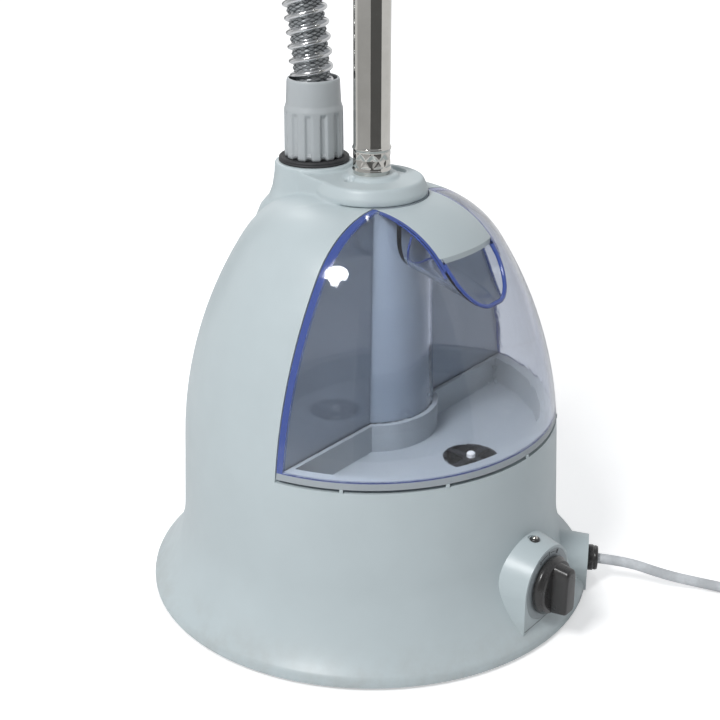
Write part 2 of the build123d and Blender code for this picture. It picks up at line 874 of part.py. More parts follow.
with BuildPart() as clamp_collar:
    add(
        lathe(
            [
                (tube_radius, collar_foot_z),
                (collar_radius - 1.5, collar_foot_z),
                (collar_radius, collar_foot_z + 1.5),
                (collar_radius, collar_top_z - 8),
                (collar_radius - 4, collar_top_z),
                (upper_radius + run_clearance, collar_top_z),
                (upper_radius + run_clearance, lower_top_z),
                (tube_radius, lower_top_z),
            ]
        )
    )
    with BuildSketch(Plane.XY.offset(pivot_z - 6)):
        with Locations((0, -pivot_y + 3.5)):
            Rectangle(2 * ear_half, 17)
    extrude(amount=12)
    with BuildSketch(Plane.XY.offset(collar_foot_z - 1)):
        with Locations((0, -pivot_y - 0.4)):
            Rectangle(2 * lever_half + 0.6, 10.8)
    extrude(amount=collar_top_z - collar_foot_z + 2, mode=Mode.SUBTRACT)
    with BuildSketch(pivot_plane):
        Circle(pivot_pin)
    extrude(amount=30, both=True, mode=Mode.SUBTRACT)
    with BuildSketch(Plane.XY.offset(collar_foot_z - 1)):
        Circle(tube_radius)
    extrude(amount=lower_top_z - collar_foot_z + 1, mode=Mode.SUBTRACT)
save(clamp_collar, "clamp_collar")

with BuildPart() as lever_pin:
    with BuildSketch(pivot_plane):
        Circle(pivot_pin)
    extrude(amount=ear_half, both=True)
save(lever_pin, "lever_pin")

with BuildPart() as clamp_lever:
    with BuildSketch(pivot_plane):
        Circle(4.2)
        with Locations((-2.1, -18)):
            Rectangle(4.2, 36)
        with Locations((-4.4, -33)):
            Circle(3.2)
        Circle(pivot_pin + run_clearance, mode=Mode.SUBTRACT)
    extrude(amount=lever_half, both=True)
save(clamp_lever, "clamp_lever")

# ---------------------------------------------------------------- hanger
bracket_radius = 16.0
bracket_foot_z = upper_top_z - 20
bracket_top_z = upper_top_z + 30
bracket_half = 37.0
bracket_depth = 18.0
arm_pivot_x = 30.0
arm_pivot_z = bracket_top_z - 9
arm_eye = 6.5
arm_half_thickness = 3.0
arm_reach = 190.0
arm_drop = 34.0

with BuildPart() as hanger_bracket:
    add(
        lathe(
            [
                (upper_radius, bracket_foot_z),
                (bracket_radius - 1, bracket_foot_z),
                (bracket_radius, bracket_foot_z + 1),
                (bracket_radius, bracket_top_z - 4),
                (bracket_radius - 4, bracket_top_z + 2),
                (0, bracket_top_z + 2),
                (0, upper_top_z),
                (upper_radius, upper_top_z),
            ]
        )
    )
    with BuildSketch(Plane.XY.offset(bracket_top_z - 20)):
        Rectangle(2 * bracket_half, bracket_depth)
    extrude(amount=20)
    with BuildSketch(Plane.XY.offset(bracket_top_z - 21)):
        with GridLocations(2 * (arm_pivot_x + 4.5), 0, 2, 1):
            Rectangle(27, 2 * arm_half_thickness + 0.4)
    extrude(amount=24, mode=Mode.SUBTRACT)
    with BuildSketch(Plane.XZ):
        with Locations((-arm_pivot_x, arm_pivot_z), (arm_pivot_x, arm_pivot_z)):
            Circle(pivot_pin)
    extrude(amount=20, both=True, mode=Mode.SUBTRACT)
save(hanger_bracket, "hanger_bracket")

with BuildPart() as arm_pins:
    with BuildSketch(Plane.XZ):
        with Locations((-arm_pivot_x, arm_pivot_z), (arm_pivot_x, arm_pivot_z)):
            Circle(pivot_pin)
    extrude(amount=bracket_depth / 2, both=True)
save(arm_pins, "arm_pins")

for name, side in (("hanger_arm_left", -1), ("hanger_arm_right", 1)):
    with BuildPart() as hanger_arm:
        with BuildSketch(Plane.XZ):
            with Locations((side * arm_pivot_x, arm_pivot_z)):
                Circle(arm_eye)
            with BuildLine():
                Polyline(
                    (side * arm_pivot_x, arm_pivot_z + 6),
                    (side * (arm_pivot_x + 30), arm_pivot_z + 3),
                    (side * (arm_reach - 16), arm_pivot_z - arm_drop + 9),
                    (side * (arm_reach - 6), arm_pivot_z - arm_drop + 13),
                    (side * arm_reach, arm_pivot_z - arm_drop + 9),
                    (side * (arm_reach - 5), arm_pivot_z - arm_drop - 2),
                    (side * (arm_reach - 20), arm_pivot_z - arm_drop),
                    (side * (arm_pivot_x + 30), arm_pivot_z - 8),
                    (side * arm_pivot_x, arm_pivot_z - 6),
                    close=True,
                )
            make_face()
            with Locations((side * arm_pivot_x, arm_pivot_z)):
                Circle(pivot_pin + run_clearance, mode=Mode.SUBTRACT)
        extrude(amount=arm_half_thickness, both=True)
    save(hanger_arm, name)

# ---------------------------------------------------------------- head cradle
cradle_height = 8.0
fork_radius = 16.0
cradle_foot_z = neck_z - cradle_height

with BuildPart() as head_cradle:
    with BuildSketch(Plane.XY.offset(cradle_foot_z - 8)):
        Circle(upper_radius + 5)
    extrude(amount=cradle_height + 12)
    with BuildSketch(Plane.XY.offset(cradle_foot_z)):
        with Locations((0, 42)):
            Rectangle(48, 72)
    extrude(amount=cradle_height)
    upright = head_cradle.edges().filter_by(Axis.Z)
    fillet(upright.group_by(Axis.Y)[-1], 7)
    with BuildSketch(Plane.XY.offset(cradle_foot_z - 1)):
        with Locations((0, head_y)):
            Circle(fork_radius)
        with Locations((0, head_y + 20)):
            Rectangle(2 * fork_radius, 40)
    extrude(amount=cradle_height + 2, mode=Mode.SUBTRACT)
    with BuildSketch(Plane.XY.offset(cradle_foot_z - 10)):
        Circle(upper_radius)
    extrude(amount=cradle_height + 20, mode=Mode.SUBTRACT)
save(head_cradle, "head_cradle")

# ---------------------------------------------------------------- steam head
grip_radius = 15.0
head_wall = 2.5
head_rear = 16.0
head_front = 22.0
head_top_z = neck_z + head_height
sole_thickness = 3.0
head_outline = [
    (-18, neck_z),
    (18, neck_z),
    (head_half_width - 5, neck_z + 42),
    (head_half_width, head_top_z - 8),
    (head_half_width - 10, head_top_z),
    (10 - head_half_width, head_top_z),
    (-head_half_width, head_top_z - 8),
    (5 - head_half_width, neck_z + 42),
]


def head_slab(shrink, low_y, high_y):
    # Fan-shaped body of the steam head between two distances from the pole.
    with BuildPart() as slab:
        with BuildSketch(Plane.XZ.offset(-low_y)):
            with BuildLine():
                Polyline(*head_outline, close=True)
            make_face()
            offset(amount=-shrink)
        extrude(amount=low_y - high_y)
    return slab.part


def grip(radius, low_z, high_z):
    with BuildPart() as bar:
        with BuildSketch(Plane.XY.offset(low_z)):
            with Locations((0, head_y)):
                Circle(radius)
        extrude(amount=high_z - low_z)
    return bar.part


grip_front = block((-40, head_y, handle_foot_z - 1), (40, head_y + 40, head_top_z))
grip_rear = block((-40, head_y - 40, handle_foot_z - 1), (40, head_y, head_top_z))
grip_solid = grip(grip_radius, handle_foot_z, neck_z + 10)
grip_hollow = grip(grip_radius - head_wall, handle_foot_z - 1, neck_z + 20)

with BuildPart() as head_shell_front:
    add(grip_solid)
    add(grip_rear, mode=Mode.SUBTRACT)
    add(head_slab(0, head_y, head_y + head_front))
    add(head_slab(head_wall, head_y - 1, head_y + head_front + 1), mode=Mode.SUBTRACT)
    add(grip_hollow, mode=Mode.SUBTRACT)
save(head_shell_front, "head_shell_front")

with BuildPart() as head_shell_rear:
    add(grip_solid)
    add(grip_front, mode=Mode.SUBTRACT)
    add(head_slab(0, head_y - head_rear, head_y))
    add(head_slab(head_wall, head_y - head_rear + head_wall, head_y + 1), mode=Mode.SUBTRACT)
    add(grip_hollow, mode=Mode.SUBTRACT)
save(head_shell_rear, "head_shell_rear")

with BuildPart() as sole_plate:
    add(head_slab(0, head_y + head_front, head_y + head_front + sole_thickness))
    with BuildSketch(Plane.XZ.offset(-head_y - head_front)):
        with Locations((0, neck_z + 58)):
            with GridLocations(20, 16, 5, 3):
                Circle(2.2)
    extrude(amount=-2 * sole_thickness, mode=Mode.SUBTRACT)
save(sole_plate, "sole_plate")

with BuildPart() as hose_cuff:
    add(
        lathe(
            [
                (hose_radius + run_clearance, cuff_foot_z),
                (grip_radius + 2.2, cuff_foot_z),
                (grip_radius + 3.5, cuff_foot_z + 8),
                (grip_radius + 2.4, handle_foot_z),
                (grip_radius - head_wall, handle_foot_z),
                (grip_radius - head_wall, hose_end_z),
                (hose_radius + run_clearance, hose_end_z),
            ],
            (0, head_y),
        )
    )
save(hose_cuff, "hose_cuff")

# ---------------------------------------------------------------- control pod fittings
plate_depth = 1.2
knob_gap = 0.8
knob_disc = 7.0
knob_bar = 12.0
shaft_radius = 3.0

with BuildPart() as dial_plate:
    with BuildSketch(dial_plane.offset(-plate_depth)):
        Circle(knob_radius + 4.8)
        Circle(6, mode=Mode.SUBTRACT)
    extrude(amount=plate_depth)
save(dial_plate, "dial_plate")

with BuildPart() as rotary_switch:
    with BuildSketch(dial_plane.offset(-shell_wall)):
        Rectangle(36, 30)
    extrude(amount=-switch_depth)
    with BuildSketch(dial_plane.offset(-shell_wall)):
        Circle(5)
    extrude(amount=shell_wall)
    with BuildSketch(dial_plane):
        Circle(shaft_radius)
    extrude(amount=13)
save(rotary_switch, "rotary_switch")

with BuildPart() as control_knob:
    with BuildSketch(dial_plane.offset(knob_gap)):
        Circle(knob_radius)
    extrude(amount=knob_disc)
    with BuildSketch(dial_plane.offset(knob_gap + knob_disc)):
        RectangleRounded(14, 36, 6)
    extrude(amount=knob_bar, taper=6)
    with BuildSketch(dial_plane.offset(knob_gap)):
        Circle(shaft_radius + run_clearance)
    extrude(amount=13.5 - knob_gap, mode=Mode.SUBTRACT)
    disc_rim = control_knob.edges().filter_by(GeomType.CIRCLE).group_by(SortBy.RADIUS)[-1]
    chamfer(disc_rim.sort_by(Axis.Y)[0], 1.8)
save(control_knob, "control_knob")

with BuildPart() as indicator_lamp:
    add(
        lathe(
            [
                (0, pod_top_z - 7),
                (lamp_radius - 0.1, pod_top_z - 7),
                (lamp_radius - 0.1, pod_top_z),
                (4.4, pod_top_z),
                (4.4, pod_top_z + 0.8),
                (3.0, pod_top_z + 2.2),
                (0, pod_top_z + 2.8),
            ],
            (0, -lamp_y),
        )
    )
save(indicator_lamp, "indicator_lamp")

# ---------------------------------------------------------------- cable entry
cord_radius = cord_diameter / 2
gland_length = 7.5
block_depth = 20.0
block_face = 122.0

with BuildPart() as terminal_block:
    with BuildSketch(Plane.XY.offset(pan_top_z)):
        with Locations(Location((*turned(cable_angle, block_face - block_depth / 2), 0), (0, 0, cable_angle))):
            Rectangle(block_depth, 34)
    extrude(amount=cable_z + 8 - pan_top_z)
save(terminal_block, "terminal_block")

with BuildPart() as cable_gland:
    with BuildSketch(cable_plane.offset(-shell_wall - 6)):
        Circle(gland_radius - 3)
    extrude(amount=shell_wall + 6)
    with BuildSketch(cable_plane):
        Circle(gland_radius)
    extrude(amount=gland_length, taper=8)
    with BuildSketch(cable_plane.offset(-shell_wall - 7)):
        Circle(cord_radius + 0.05)
    extrude(amount=40, mode=Mode.SUBTRACT)
save(cable_gland, "cable_gland")

# ---------------------------------------------------------------- mains cord, coil and plug
coil_centre = (186.0, -312.0)
coil_inner = 30.0
coil_outer = 52.5
coil_height = 15.0
coil_middle = (coil_inner + coil_outer) / 2
coil_lane = coil_outer - cord_radius
stub_in = 30.0
stub_out = 36.0
plug_z = coil_height - cord_radius
cord_points = [
    (*turned(cable_angle, block_face), cable_z),
    (*turned(cable_angle, block_face + 66), cable_z),
    (104, -193, 12),
    (121, -214, cord_radius + 1.2),
    (132, -246, cord_radius),
    (coil_centre[0] - coil_lane, coil_centre[1] + stub_in + 18, cord_radius),
    (coil_centre[0] - coil_lane, coil_centre[1] + stub_in, cord_radius),
]
cord_radii = soft_line(cord_points)

with BuildPart() as mains_cord:
    with BuildLine() as cord_line:
        FilletPolyline(*cord_points, radius=cord_radii)
    with BuildSketch(Plane(origin=cord_line.line @ 0, z_dir=cord_line.line % 0)):
        Circle(cord_radius)
    sweep()
save(mains_cord, "mains_cord")
cord_section = pi * cord_radius**2
cord_run = cord_line.wire().length
print("cord length", round(cord_run, 1))
print("cord radii", [round(radius, 1) for radius in cord_radii])
print("cord volume ratio", round(mains_cord.part.volume / (cord_section * cord_run), 4))

coil_round = 4.0
with BuildPart() as cord_coil:
    with BuildSketch(Plane(origin=(*coil_centre, 0), x_dir=(1, 0, 0), z_dir=(0, -1, 0))):
        with Locations((coil_middle, coil_height / 2)):
            RectangleRounded(coil_outer - coil_inner, coil_height, coil_round)
    revolve(axis=Axis((*coil_centre, 0), (0, 0, 1)))
    with BuildSketch(Plane.XZ.offset(-coil_centre[1])):
        with Locations((coil_centre[0] - coil_lane, cord_radius)):
            Circle(cord_radius)
    extrude(amount=-stub_in)
    with BuildSketch(Plane.XZ.offset(-coil_centre[1])):
        with Locations((coil_centre[0] - coil_lane, plug_z)):
            Circle(cord_radius)
    extrude(amount=stub_out)
save(cord_coil, "cord_coil")

plug_length = 34.0
plug_sleeve = 22.0
plug_plane = Plane(
    origin=(coil_centre[0] - coil_lane, coil_centre[1] - stub_out, plug_z),
    x_dir=(1, 0, 0),
    z_dir=(0, -1, 0),
)
with BuildPart() as mains_plug:
    with BuildSketch(plug_plane):
        Circle(cord_radius + 1)
    with BuildSketch(plug_plane.offset(plug_sleeve)):
        Circle(cord_radius + 3)
    loft()
    with BuildSketch(plug_plane.offset(plug_sleeve)):
        RectangleRounded(30, 2 * plug_z, 7)
    extrude(amount=plug_length)
    with BuildSketch(plug_plane.offset(plug_sleeve + plug_length)):
        with Locations((-9.5, 0), (9.5, 0)):
            Circle(2.4)
    extrude(amount=19)
save(mains_plug, "mains_plug")
cord_total = 1800.0
coil_length = cord_total - cord_run - stub_in - stub_out
print("coil turns", round(coil_length / (2 * pi * coil_middle), 2))

# ---------------------------------------------------------------- tank
recess_foot = column_foot_radius + column_clearance
recess_top = column_top_radius + column_clearance
tray_gap_y = 3.0
tray_outer = bay_radius - tank_gap
tray_column = recess_foot + 3.6


def tank_wedge(inset, low_z, back_y, foot, top):
    # The part of the bell in front of the bay plane, with the column's recess taken out.
    with BuildPart() as wedge:
        add(bell_solid(inset, foot_height))
        add(
            block((-front_reach, -front_reach, low_z), (front_reach, -back_y, dome_top_z + 9)),
            mode=Mode.INTERSECT,
        )
        add(column_cone(foot, top, low_z - 1, dome_top_z + 20), mode=Mode.SUBTRACT)
    return wedge.part


def pocket_solid(grow):
    # Finger pocket under the handle: a U-shaped channel that slopes down to its mouth.
    slope = atan2(pocket_back_z - pocket_mouth_z, pocket_mouth_y - pocket_back_y)
    half = pocket_half_width + grow
    floor_plane = Plane(
        origin=(0, -pocket_back_y, pocket_back_z),
        x_dir=(1, 0, 0),
        z_dir=(0, -cos(slope), -sin(slope)),
    )
    with BuildPart() as pocket:
        with BuildSketch(floor_plane.offset(-30)):
            with BuildLine():
                FilletPolyline(
                    (-half, 90),
                    (-half, -grow),
                    (half, -grow),
                    (half, 90),
                    radius=pocket_round + grow,
                )
                Line((-half, 90), (half, 90))
            make_face()
        extrude(amount=120)
        add(
            block(
                (-half - 1, -front_reach, pocket_mouth_z - 40),
                (half + 1, -pocket_back_y + grow, dome_top_z + 90),
            ),
            mode=Mode.INTERSECT,
        )
    return pocket.part


with BuildPart() as plate_shape:
    add(tank_wedge(0, seam_z + 60, tank_back_y, recess_foot, recess_top))
    add(bell_solid(handle_thickness, foot_height), mode=Mode.SUBTRACT)
    with BuildSketch(Plane.XY.offset(dome_top_z - 60)):
        with Locations((0, -handle_front_y + 93)):
            Circle(93)
    extrude(amount=90, mode=Mode.INTERSECT)
    add(
        block(
            (-handle_half_width, -handle_front_y - 9, dome_top_z - 50),
            (handle_half_width, -tank_back_y, dome_top_z + 9),
        ),
        mode=Mode.INTERSECT,
    )

pocket_hollow = pocket_solid(0)
with BuildPart() as tank_shell:
    add(tank_wedge(0, seam_z, tank_back_y, recess_foot, recess_top))
    add(
        tank_wedge(tank_wall, seam_z - 5, tank_back_y + tank_wall, recess_foot + tank_wall, recess_top + tank_wall)
        - pocket_solid(tank_wall),
        mode=Mode.SUBTRACT,
    )
    add(pocket_hollow, mode=Mode.SUBTRACT)
    add(plate_shape.part, mode=Mode.SUBTRACT)
save(tank_shell, "tank_shell")

with BuildPart() as tank_handle_plate:
    add(plate_shape.part)
save(tank_handle_plate, "tank_handle_plate")

with BuildPart() as tank_tray:
    # Rim ring under the clear shell.
    add(tank_wedge(0, ring_low_z, tank_back_y, recess_foot, recess_top))
    add(
        block((-front_reach, -front_reach, seam_z), (front_reach, front_reach, dome_top_z + 60)),
        mode=Mode.SUBTRACT,
    )
    # Cup that drops into the bay.
    with BuildSketch(Plane.XY.offset(tray_floor_z - tray_wall)):
        Circle(tray_outer)
        Circle(tray_column, mode=Mode.SUBTRACT)
        with Locations((0, front_reach - bay_y - tray_gap_y - tank_gap)):
            Rectangle(2 * front_reach, 2 * front_reach, mode=Mode.SUBTRACT)
    extrude(amount=ring_low_z - tray_floor_z + tray_wall)
    with BuildSketch(Plane.XY.offset(tray_floor_z)):
        Circle(tray_outer - tray_wall)
        Circle(tray_column + tray_wall, mode=Mode.SUBTRACT)
        with Locations((0, front_reach - bay_y - tray_gap_y - tank_gap - tray_wall)):
            Rectangle(2 * front_reach, 2 * front_reach, mode=Mode.SUBTRACT)
    extrude(amount=tray_depth + 20, mode=Mode.SUBTRACT)
    # Filling neck below the floor, with a bridge that guides the valve stem.
    with BuildSketch(Plane.XY.offset(neck_foot_z)):
        with Locations(well_centre):
            Circle(neck_radius)
    extrude(amount=tray_floor_z - tray_wall - neck_foot_z)
    with BuildSketch(Plane.XY.offset(neck_foot_z)):
        with Locations(well_centre):
            Circle(neck_bore)
    extrude(amount=40, mode=Mode.SUBTRACT)
    with BuildSketch(Plane.XY.offset(tray_floor_z - tray_wall)):
        with Locations(well_centre):
            Rectangle(2 * neck_bore + 1, 5)
            Rectangle(5, 2 * neck_bore + 1)
            Circle(stem_radius + 2.5)
            Circle(stem_radius + run_clearance, mode=Mode.SUBTRACT)
    extrude(amount=tray_wall)
save(tank_tray, "tank_tray")

# ---------------------------------------------------------------- tank valve
cap_skirt = neck_radius + 2.4
with BuildPart() as valve_cap:
    add(
        lathe(
            [
                (stem_radius + 4.0, cap_floor_z),
                (cap_skirt - 1, cap_floor_z),
                (cap_skirt, cap_floor_z + 1),
                (cap_skirt, cap_floor_z + 12),
                (neck_radius + run_clearance, cap_floor_z + 12),
                (neck_radius + run_clearance, cap_floor_z + cap_floor),
                (stem_radius + 4.0, cap_floor_z + cap_floor),
            ],
            well_centre,
        )
    )
    with BuildSketch(Plane.XY.offset(cap_floor_z)):
        with Locations(well_centre):
            with PolarLocations(cap_skirt + 0.6, 24):
                Circle(1.1)
    extrude(amount=12, mode=Mode.SUBTRACT)
save(valve_cap, "valve_cap")

with BuildPart() as cap_seal:
    add(
        lathe(
            [
                (neck_bore - 2, cap_floor_z + cap_floor),
                (neck_radius - 0.2, cap_floor_z + cap_floor),
                (neck_radius - 0.2, neck_foot_z),
                (neck_bore - 2, neck_foot_z),
            ],
            well_centre,
        )
    )
save(cap_seal, "cap_seal")

stem_top_z = tray_floor_z + 3.5
with BuildPart() as valve_plunger:
    add(
        lathe(
            [
                (0, stem_foot_z),
                (2.2, stem_foot_z),
                (stem_radius, stem_foot_z + 1),
                (stem_radius, cap_floor_z + cap_floor),
                (stem_radius + 7, cap_floor_z + cap_floor),
                (stem_radius + 7, cap_floor_z + cap_floor + 2),
                (stem_radius, cap_floor_z + cap_floor + 2),
                (stem_radius, stem_top_z - 1),
                (stem_radius - 1, stem_top_z),
                (0, stem_top_z),
            ],
            well_centre,
        )
    )
save(valve_plunger, "valve_plunger")

spring_foot_z = cap_floor_z + cap_floor + 2
spring_top_z = tray_floor_z - tray_wall
spring_wire = 0.5
with BuildPart() as valve_spring:
    with BuildLine() as spring_line:
        Helix(
            pitch=2.2,
            height=spring_top_z - spring_foot_z - 2 * spring_wire,
            radius=stem_radius + 1.6,
            center=(*well_centre, spring_foot_z + spring_wire),
        )
    with BuildSketch(Plane(origin=spring_line.line @ 0, z_dir=spring_line.line % 0)):
        Circle(spring_wire)
    sweep()
save(valve_spring, "valve_spring")
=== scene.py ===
import bpy
import bmesh
import math
from mathutils import Matrix, Vector


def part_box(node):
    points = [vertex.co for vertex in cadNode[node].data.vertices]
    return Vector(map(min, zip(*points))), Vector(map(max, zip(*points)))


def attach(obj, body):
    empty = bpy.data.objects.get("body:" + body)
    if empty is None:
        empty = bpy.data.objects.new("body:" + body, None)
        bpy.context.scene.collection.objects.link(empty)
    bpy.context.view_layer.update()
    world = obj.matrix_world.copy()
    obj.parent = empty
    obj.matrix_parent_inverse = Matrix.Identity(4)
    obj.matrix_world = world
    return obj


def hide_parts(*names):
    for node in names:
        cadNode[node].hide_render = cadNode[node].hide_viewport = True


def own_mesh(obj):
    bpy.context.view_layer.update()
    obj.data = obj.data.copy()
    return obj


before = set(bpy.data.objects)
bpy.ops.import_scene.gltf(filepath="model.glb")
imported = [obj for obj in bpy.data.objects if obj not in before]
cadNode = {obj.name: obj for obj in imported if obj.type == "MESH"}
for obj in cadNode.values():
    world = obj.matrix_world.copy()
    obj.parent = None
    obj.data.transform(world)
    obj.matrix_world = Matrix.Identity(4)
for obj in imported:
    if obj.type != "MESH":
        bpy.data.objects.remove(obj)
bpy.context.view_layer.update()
print("frame loaded,", len(cadNode), "nodes")

# camera, lights and floor

cameraSet = {"place": (-0.71931, -0.56408, 0.56066), "turn": -51.4, "down": 23.3, "lens": 69.4}
lightSet = {
    # name: place, aim, width, height, watts
    "keySoftbox": ((-1.55, -0.05, 1.9), (0.0, 0.0, 0.15), 0.65, 0.65, 33),
    "fillSoftbox": ((0.2, -2.0, 1.4), (0.0, 0.0, 0.15), 1.0, 1.4, 1.5),
    "rimSoftbox": ((0.9, 1.4, 1.5), (0.0, 0.0, 0.25), 0.8, 1.6, 9),
}
worldSet = {"seen": (1, 1, 1, 1), "light": (0.375, 0.385, 0.40, 1), "strength": 1.0}
floorSet = {
    "size": 40.0, "colour": (0.80, 0.80, 0.80, 1), "roughness": 0.6,
    "glowNear": 0.44, "glowFar": 0.72, "nearEdge": 0.25, "farEdge": 1.8,
}
ringSet = {
    "turn": -142, "radius": 1.15, "low": 0.0, "high": 1.0, "columns": 120, "open": 0.8, "soften": 0.02,
    # grey cards that only shiny things see: where each starts and ends round the ring, and how light it is
    "cards": [(-150, -130, 0.15), (-100, -10, 0.5), (-10, 60, 0.12)],
}


def aimAt(obj, target):
    obj.rotation_euler = (Vector(target) - obj.location).to_track_quat("-Z", "Y").to_euler()


def makeCamera():
    data = bpy.data.cameras.new("viewCamera")
    data.lens = cameraSet["lens"]
    data.clip_start = 0.02
    camera = bpy.data.objects.new("viewCamera", data)
    camera.location = cameraSet["place"]
    camera.rotation_euler = (math.radians(90 - cameraSet["down"]), 0, math.radians(cameraSet["turn"]))
    bpy.context.collection.objects.link(camera)
    bpy.context.scene.camera = camera


def seenOrNot(tree, socket, unseen, seen):  # the backdrop alone is brighter to the eye than as a lamp
    path = tree.nodes.new("ShaderNodeLightPath")
    choice = tree.nodes.new("ShaderNodeMix")
    choice.data_type = "RGBA"
    choice.inputs[6].default_value = unseen
    choice.inputs[7].default_value = seen
    tree.links.new(path.outputs["Is Camera Ray"], choice.inputs[0])
    tree.links.new(choice.outputs[2], socket)


def makeLights():
    for name, (place, target, width, height, watts) in lightSet.items():
        data = bpy.data.lights.new(name, "AREA")
        data.shape = "ELLIPSE"
        data.size = width
        data.size_y = height
        data.energy = watts
        lamp = bpy.data.objects.new(name, data)
        lamp.location = place
        bpy.context.collection.objects.link(lamp)
        aimAt(lamp, target)
    world = bpy.data.worlds.new("studio")
    world.use_nodes = True
    back = world.node_tree.nodes["Background"]
    back.inputs["Strength"].default_value = worldSet["strength"]
    seenOrNot(world.node_tree, back.inputs["Color"], worldSet["light"], worldSet["seen"])
    bpy.context.scene.world = world


bpy.context.scene.view_settings.view_transform = "Standard"
makeCamera()
makeLights()
print("camera and lights placed")

# shader maths


class Wire:  # one output socket that can be used in an expression
    def __init__(self, tree, socket):
        self.tree = tree
        self.socket = socket

    def maths(self, kind, *values):
        step = self.tree.nodes.new("ShaderNodeMath")
        step.operation = kind
        for place, value in enumerate(values):
            feed(self.tree, step.inputs[place], value)
        return Wire(self.tree, step.outputs[0])

    def __add__(self, other):
        return self.maths("ADD", self, other)

    def __radd__(self, other):
        return self.maths("ADD", other, self)

    def __sub__(self, other):
        return self.maths("SUBTRACT", self, other)

    def __rsub__(self, other):
        return self.maths("SUBTRACT", other, self)

    def __mul__(self, other):
        return self.maths("MULTIPLY", self, other)

    def __rmul__(self, other):
        return self.maths("MULTIPLY", other, self)

    def __pow__(self, other):
        return self.maths("POWER", self, other)

    def between(self, low, high):  # 0 below low, 1 above high, smooth in the middle
        step = self.tree.nodes.new("ShaderNodeMapRange")
        step.interpolation_type = "SMOOTHSTEP"
        feed(self.tree, step.inputs["Value"], self)
        feed(self.tree, step.inputs["From Min"], low)
        feed(self.tree, step.inputs["From Max"], high)
        return Wire(self.tree, step.outputs["Result"])

    def size(self):
        return self.maths("ABSOLUTE", self)

    def wave(self):
        return self.maths("SINE", self)

    def root(self):
        return self.maths("SQRT", self)

    def larger(self, other):
        return self.maths("MAXIMUM", self, other)


def feed(tree, socket, value):
    if isinstance(value, Wire):
        tree.links.new(value.socket, socket)
    else:
        socket.default_value = value


class Finish:  # a material being built
    def __init__(self, name):
        self.material = bpy.data.materials.new(name)
        self.material.use_nodes = True
        self.tree = self.material.node_tree
        self.face = self.tree.nodes["Principled BSDF"]
        self.place = self.node("ShaderNodeTexCoord", out="Object")

    def node(self, kind, settings=None, values=None, out=0):
        step = self.tree.nodes.new(kind)
        for name, value in (settings or {}).items():
            setattr(step, name, value)
        for name, value in (values or {}).items():
            feed(self.tree, step.inputs[name], value)
        return Wire(self.tree, step.outputs[out])

    def axes(self, vector=None):
        split = self.tree.nodes.new("ShaderNodeSeparateXYZ")
        feed(self.tree, split.inputs[0], vector or self.place)
        return [Wire(self.tree, split.outputs[n]) for n in range(3)]

    def join(self, x, y, z):
        return self.node("ShaderNodeCombineXYZ", values={0: x, 1: y, 2: z})

    def noise(self, scale, detail=3, rough=0.5, vector=None):
        values = {"Vector": vector or self.place, "Scale": scale, "Detail": detail, "Roughness": rough}
        return self.node("ShaderNodeTexNoise", values=values)

    def cells(self, scale, feature="F1", vector=None, out="Distance"):
        values = {"Vector": vector or self.place, "Scale": scale}
        return self.node("ShaderNodeTexVoronoi", {"feature": feature}, values, out)

    def mix(self, amount, first, second):
        return self.node("ShaderNodeMix", {"data_type": "RGBA"}, {0: amount, 6: first, 7: second}, 2)

    def set(self, **values):
        for name, value in values.items():
            feed(self.tree, self.face.inputs[name.replace("_", " ")], value)

    def bump(self, height, depth, strength=1.0):  # depth in metres
        values = {"Height": height, "Distance": depth, "Strength": strength}
        normal = self.node("ShaderNodeBump", values=values)
        feed(self.tree, self.face.inputs["Normal"], normal)


def tone(red, green, blue):
    return (red, green, blue, 1)


def makeFloor():
    half = floorSet["size"] / 2
    mesh = bpy.data.meshes.new("studioFloor")
    corners = [(-half, -half, 0), (half, -half, 0), (half, half, 0), (-half, half, 0)]
    mesh.from_pydata(corners, [], [(0, 1, 2, 3)])
    floor = bpy.data.objects.new("studioFloor", mesh)
    floor.location = (0, 0, -0.0004)
    bpy.context.collection.objects.link(floor)
    make = Finish("paleFloor")
    x, y = make.axes()[:2]
    near, far = floorSet["glowNear"], floorSet["glowFar"]
    glow = near + (far - near) * (x * x + y * y).root().between(floorSet["nearEdge"], floorSet["farEdge"])
    glow = glow * make.node("ShaderNodeLightPath", out="Is Camera Ray")
    make.set(Base_Color=floorSet["colour"], Roughness=floorSet["roughness"], Emission_Strength=1.0)
    make.set(Emission_Color=make.join(glow, glow, glow))
    mesh.materials.append(make.material)


def makeRing():
    low, high, radius, count = ringSet["low"], ringSet["high"], ringSet["radius"], ringSet["columns"]
    points, faces = [], []
    for column in range(count):
        angle = 2 * math.pi * column / count
        for height in (low, high):
            points.append((radius * math.cos(angle), radius * math.sin(angle), height))
    for column in range(count):
        a, b = 2 * column, 2 * ((column + 1) % count)
        faces.append((a, b, b + 1, a + 1))
    mesh = bpy.data.meshes.new("reflectorRing")
    mesh.from_pydata(points, [], faces)
    ring = bpy.data.objects.new("reflectorRing", mesh)
    ring.rotation_euler = (0, 0, math.radians(ringSet["turn"]))
    bpy.context.collection.objects.link(ring)
    make = Finish("reflectorBands")
    x, y = make.axes()[:2]
    around = make.node("ShaderNodeMath", {"operation": "ARCTAN2"}, {0: y, 1: x})
    light, soften = ringSet["open"], ringSet["soften"]
    for start, end, grey in ringSet["cards"]:
        start, end = math.radians(start), math.radians(end)
        inside = around.between(start, start + soften) * (1 - around.between(end - soften, end))
        light = light + inside * (grey - ringSet["open"])
    make.set(Base_Color=tone(0, 0, 0), Emission_Strength=1.0, Specular_IOR_Level=0.0)
    make.set(Emission_Color=make.join(light, light, light))
    mesh.materials.append(make.material)
    for way in ("camera", "diffuse", "shadow", "transmission", "volume_scatter"):
        setattr(ring, "visible_" + way, False)


makeFloor()
makeRing()
print("floor and reflector placed")

# finishes


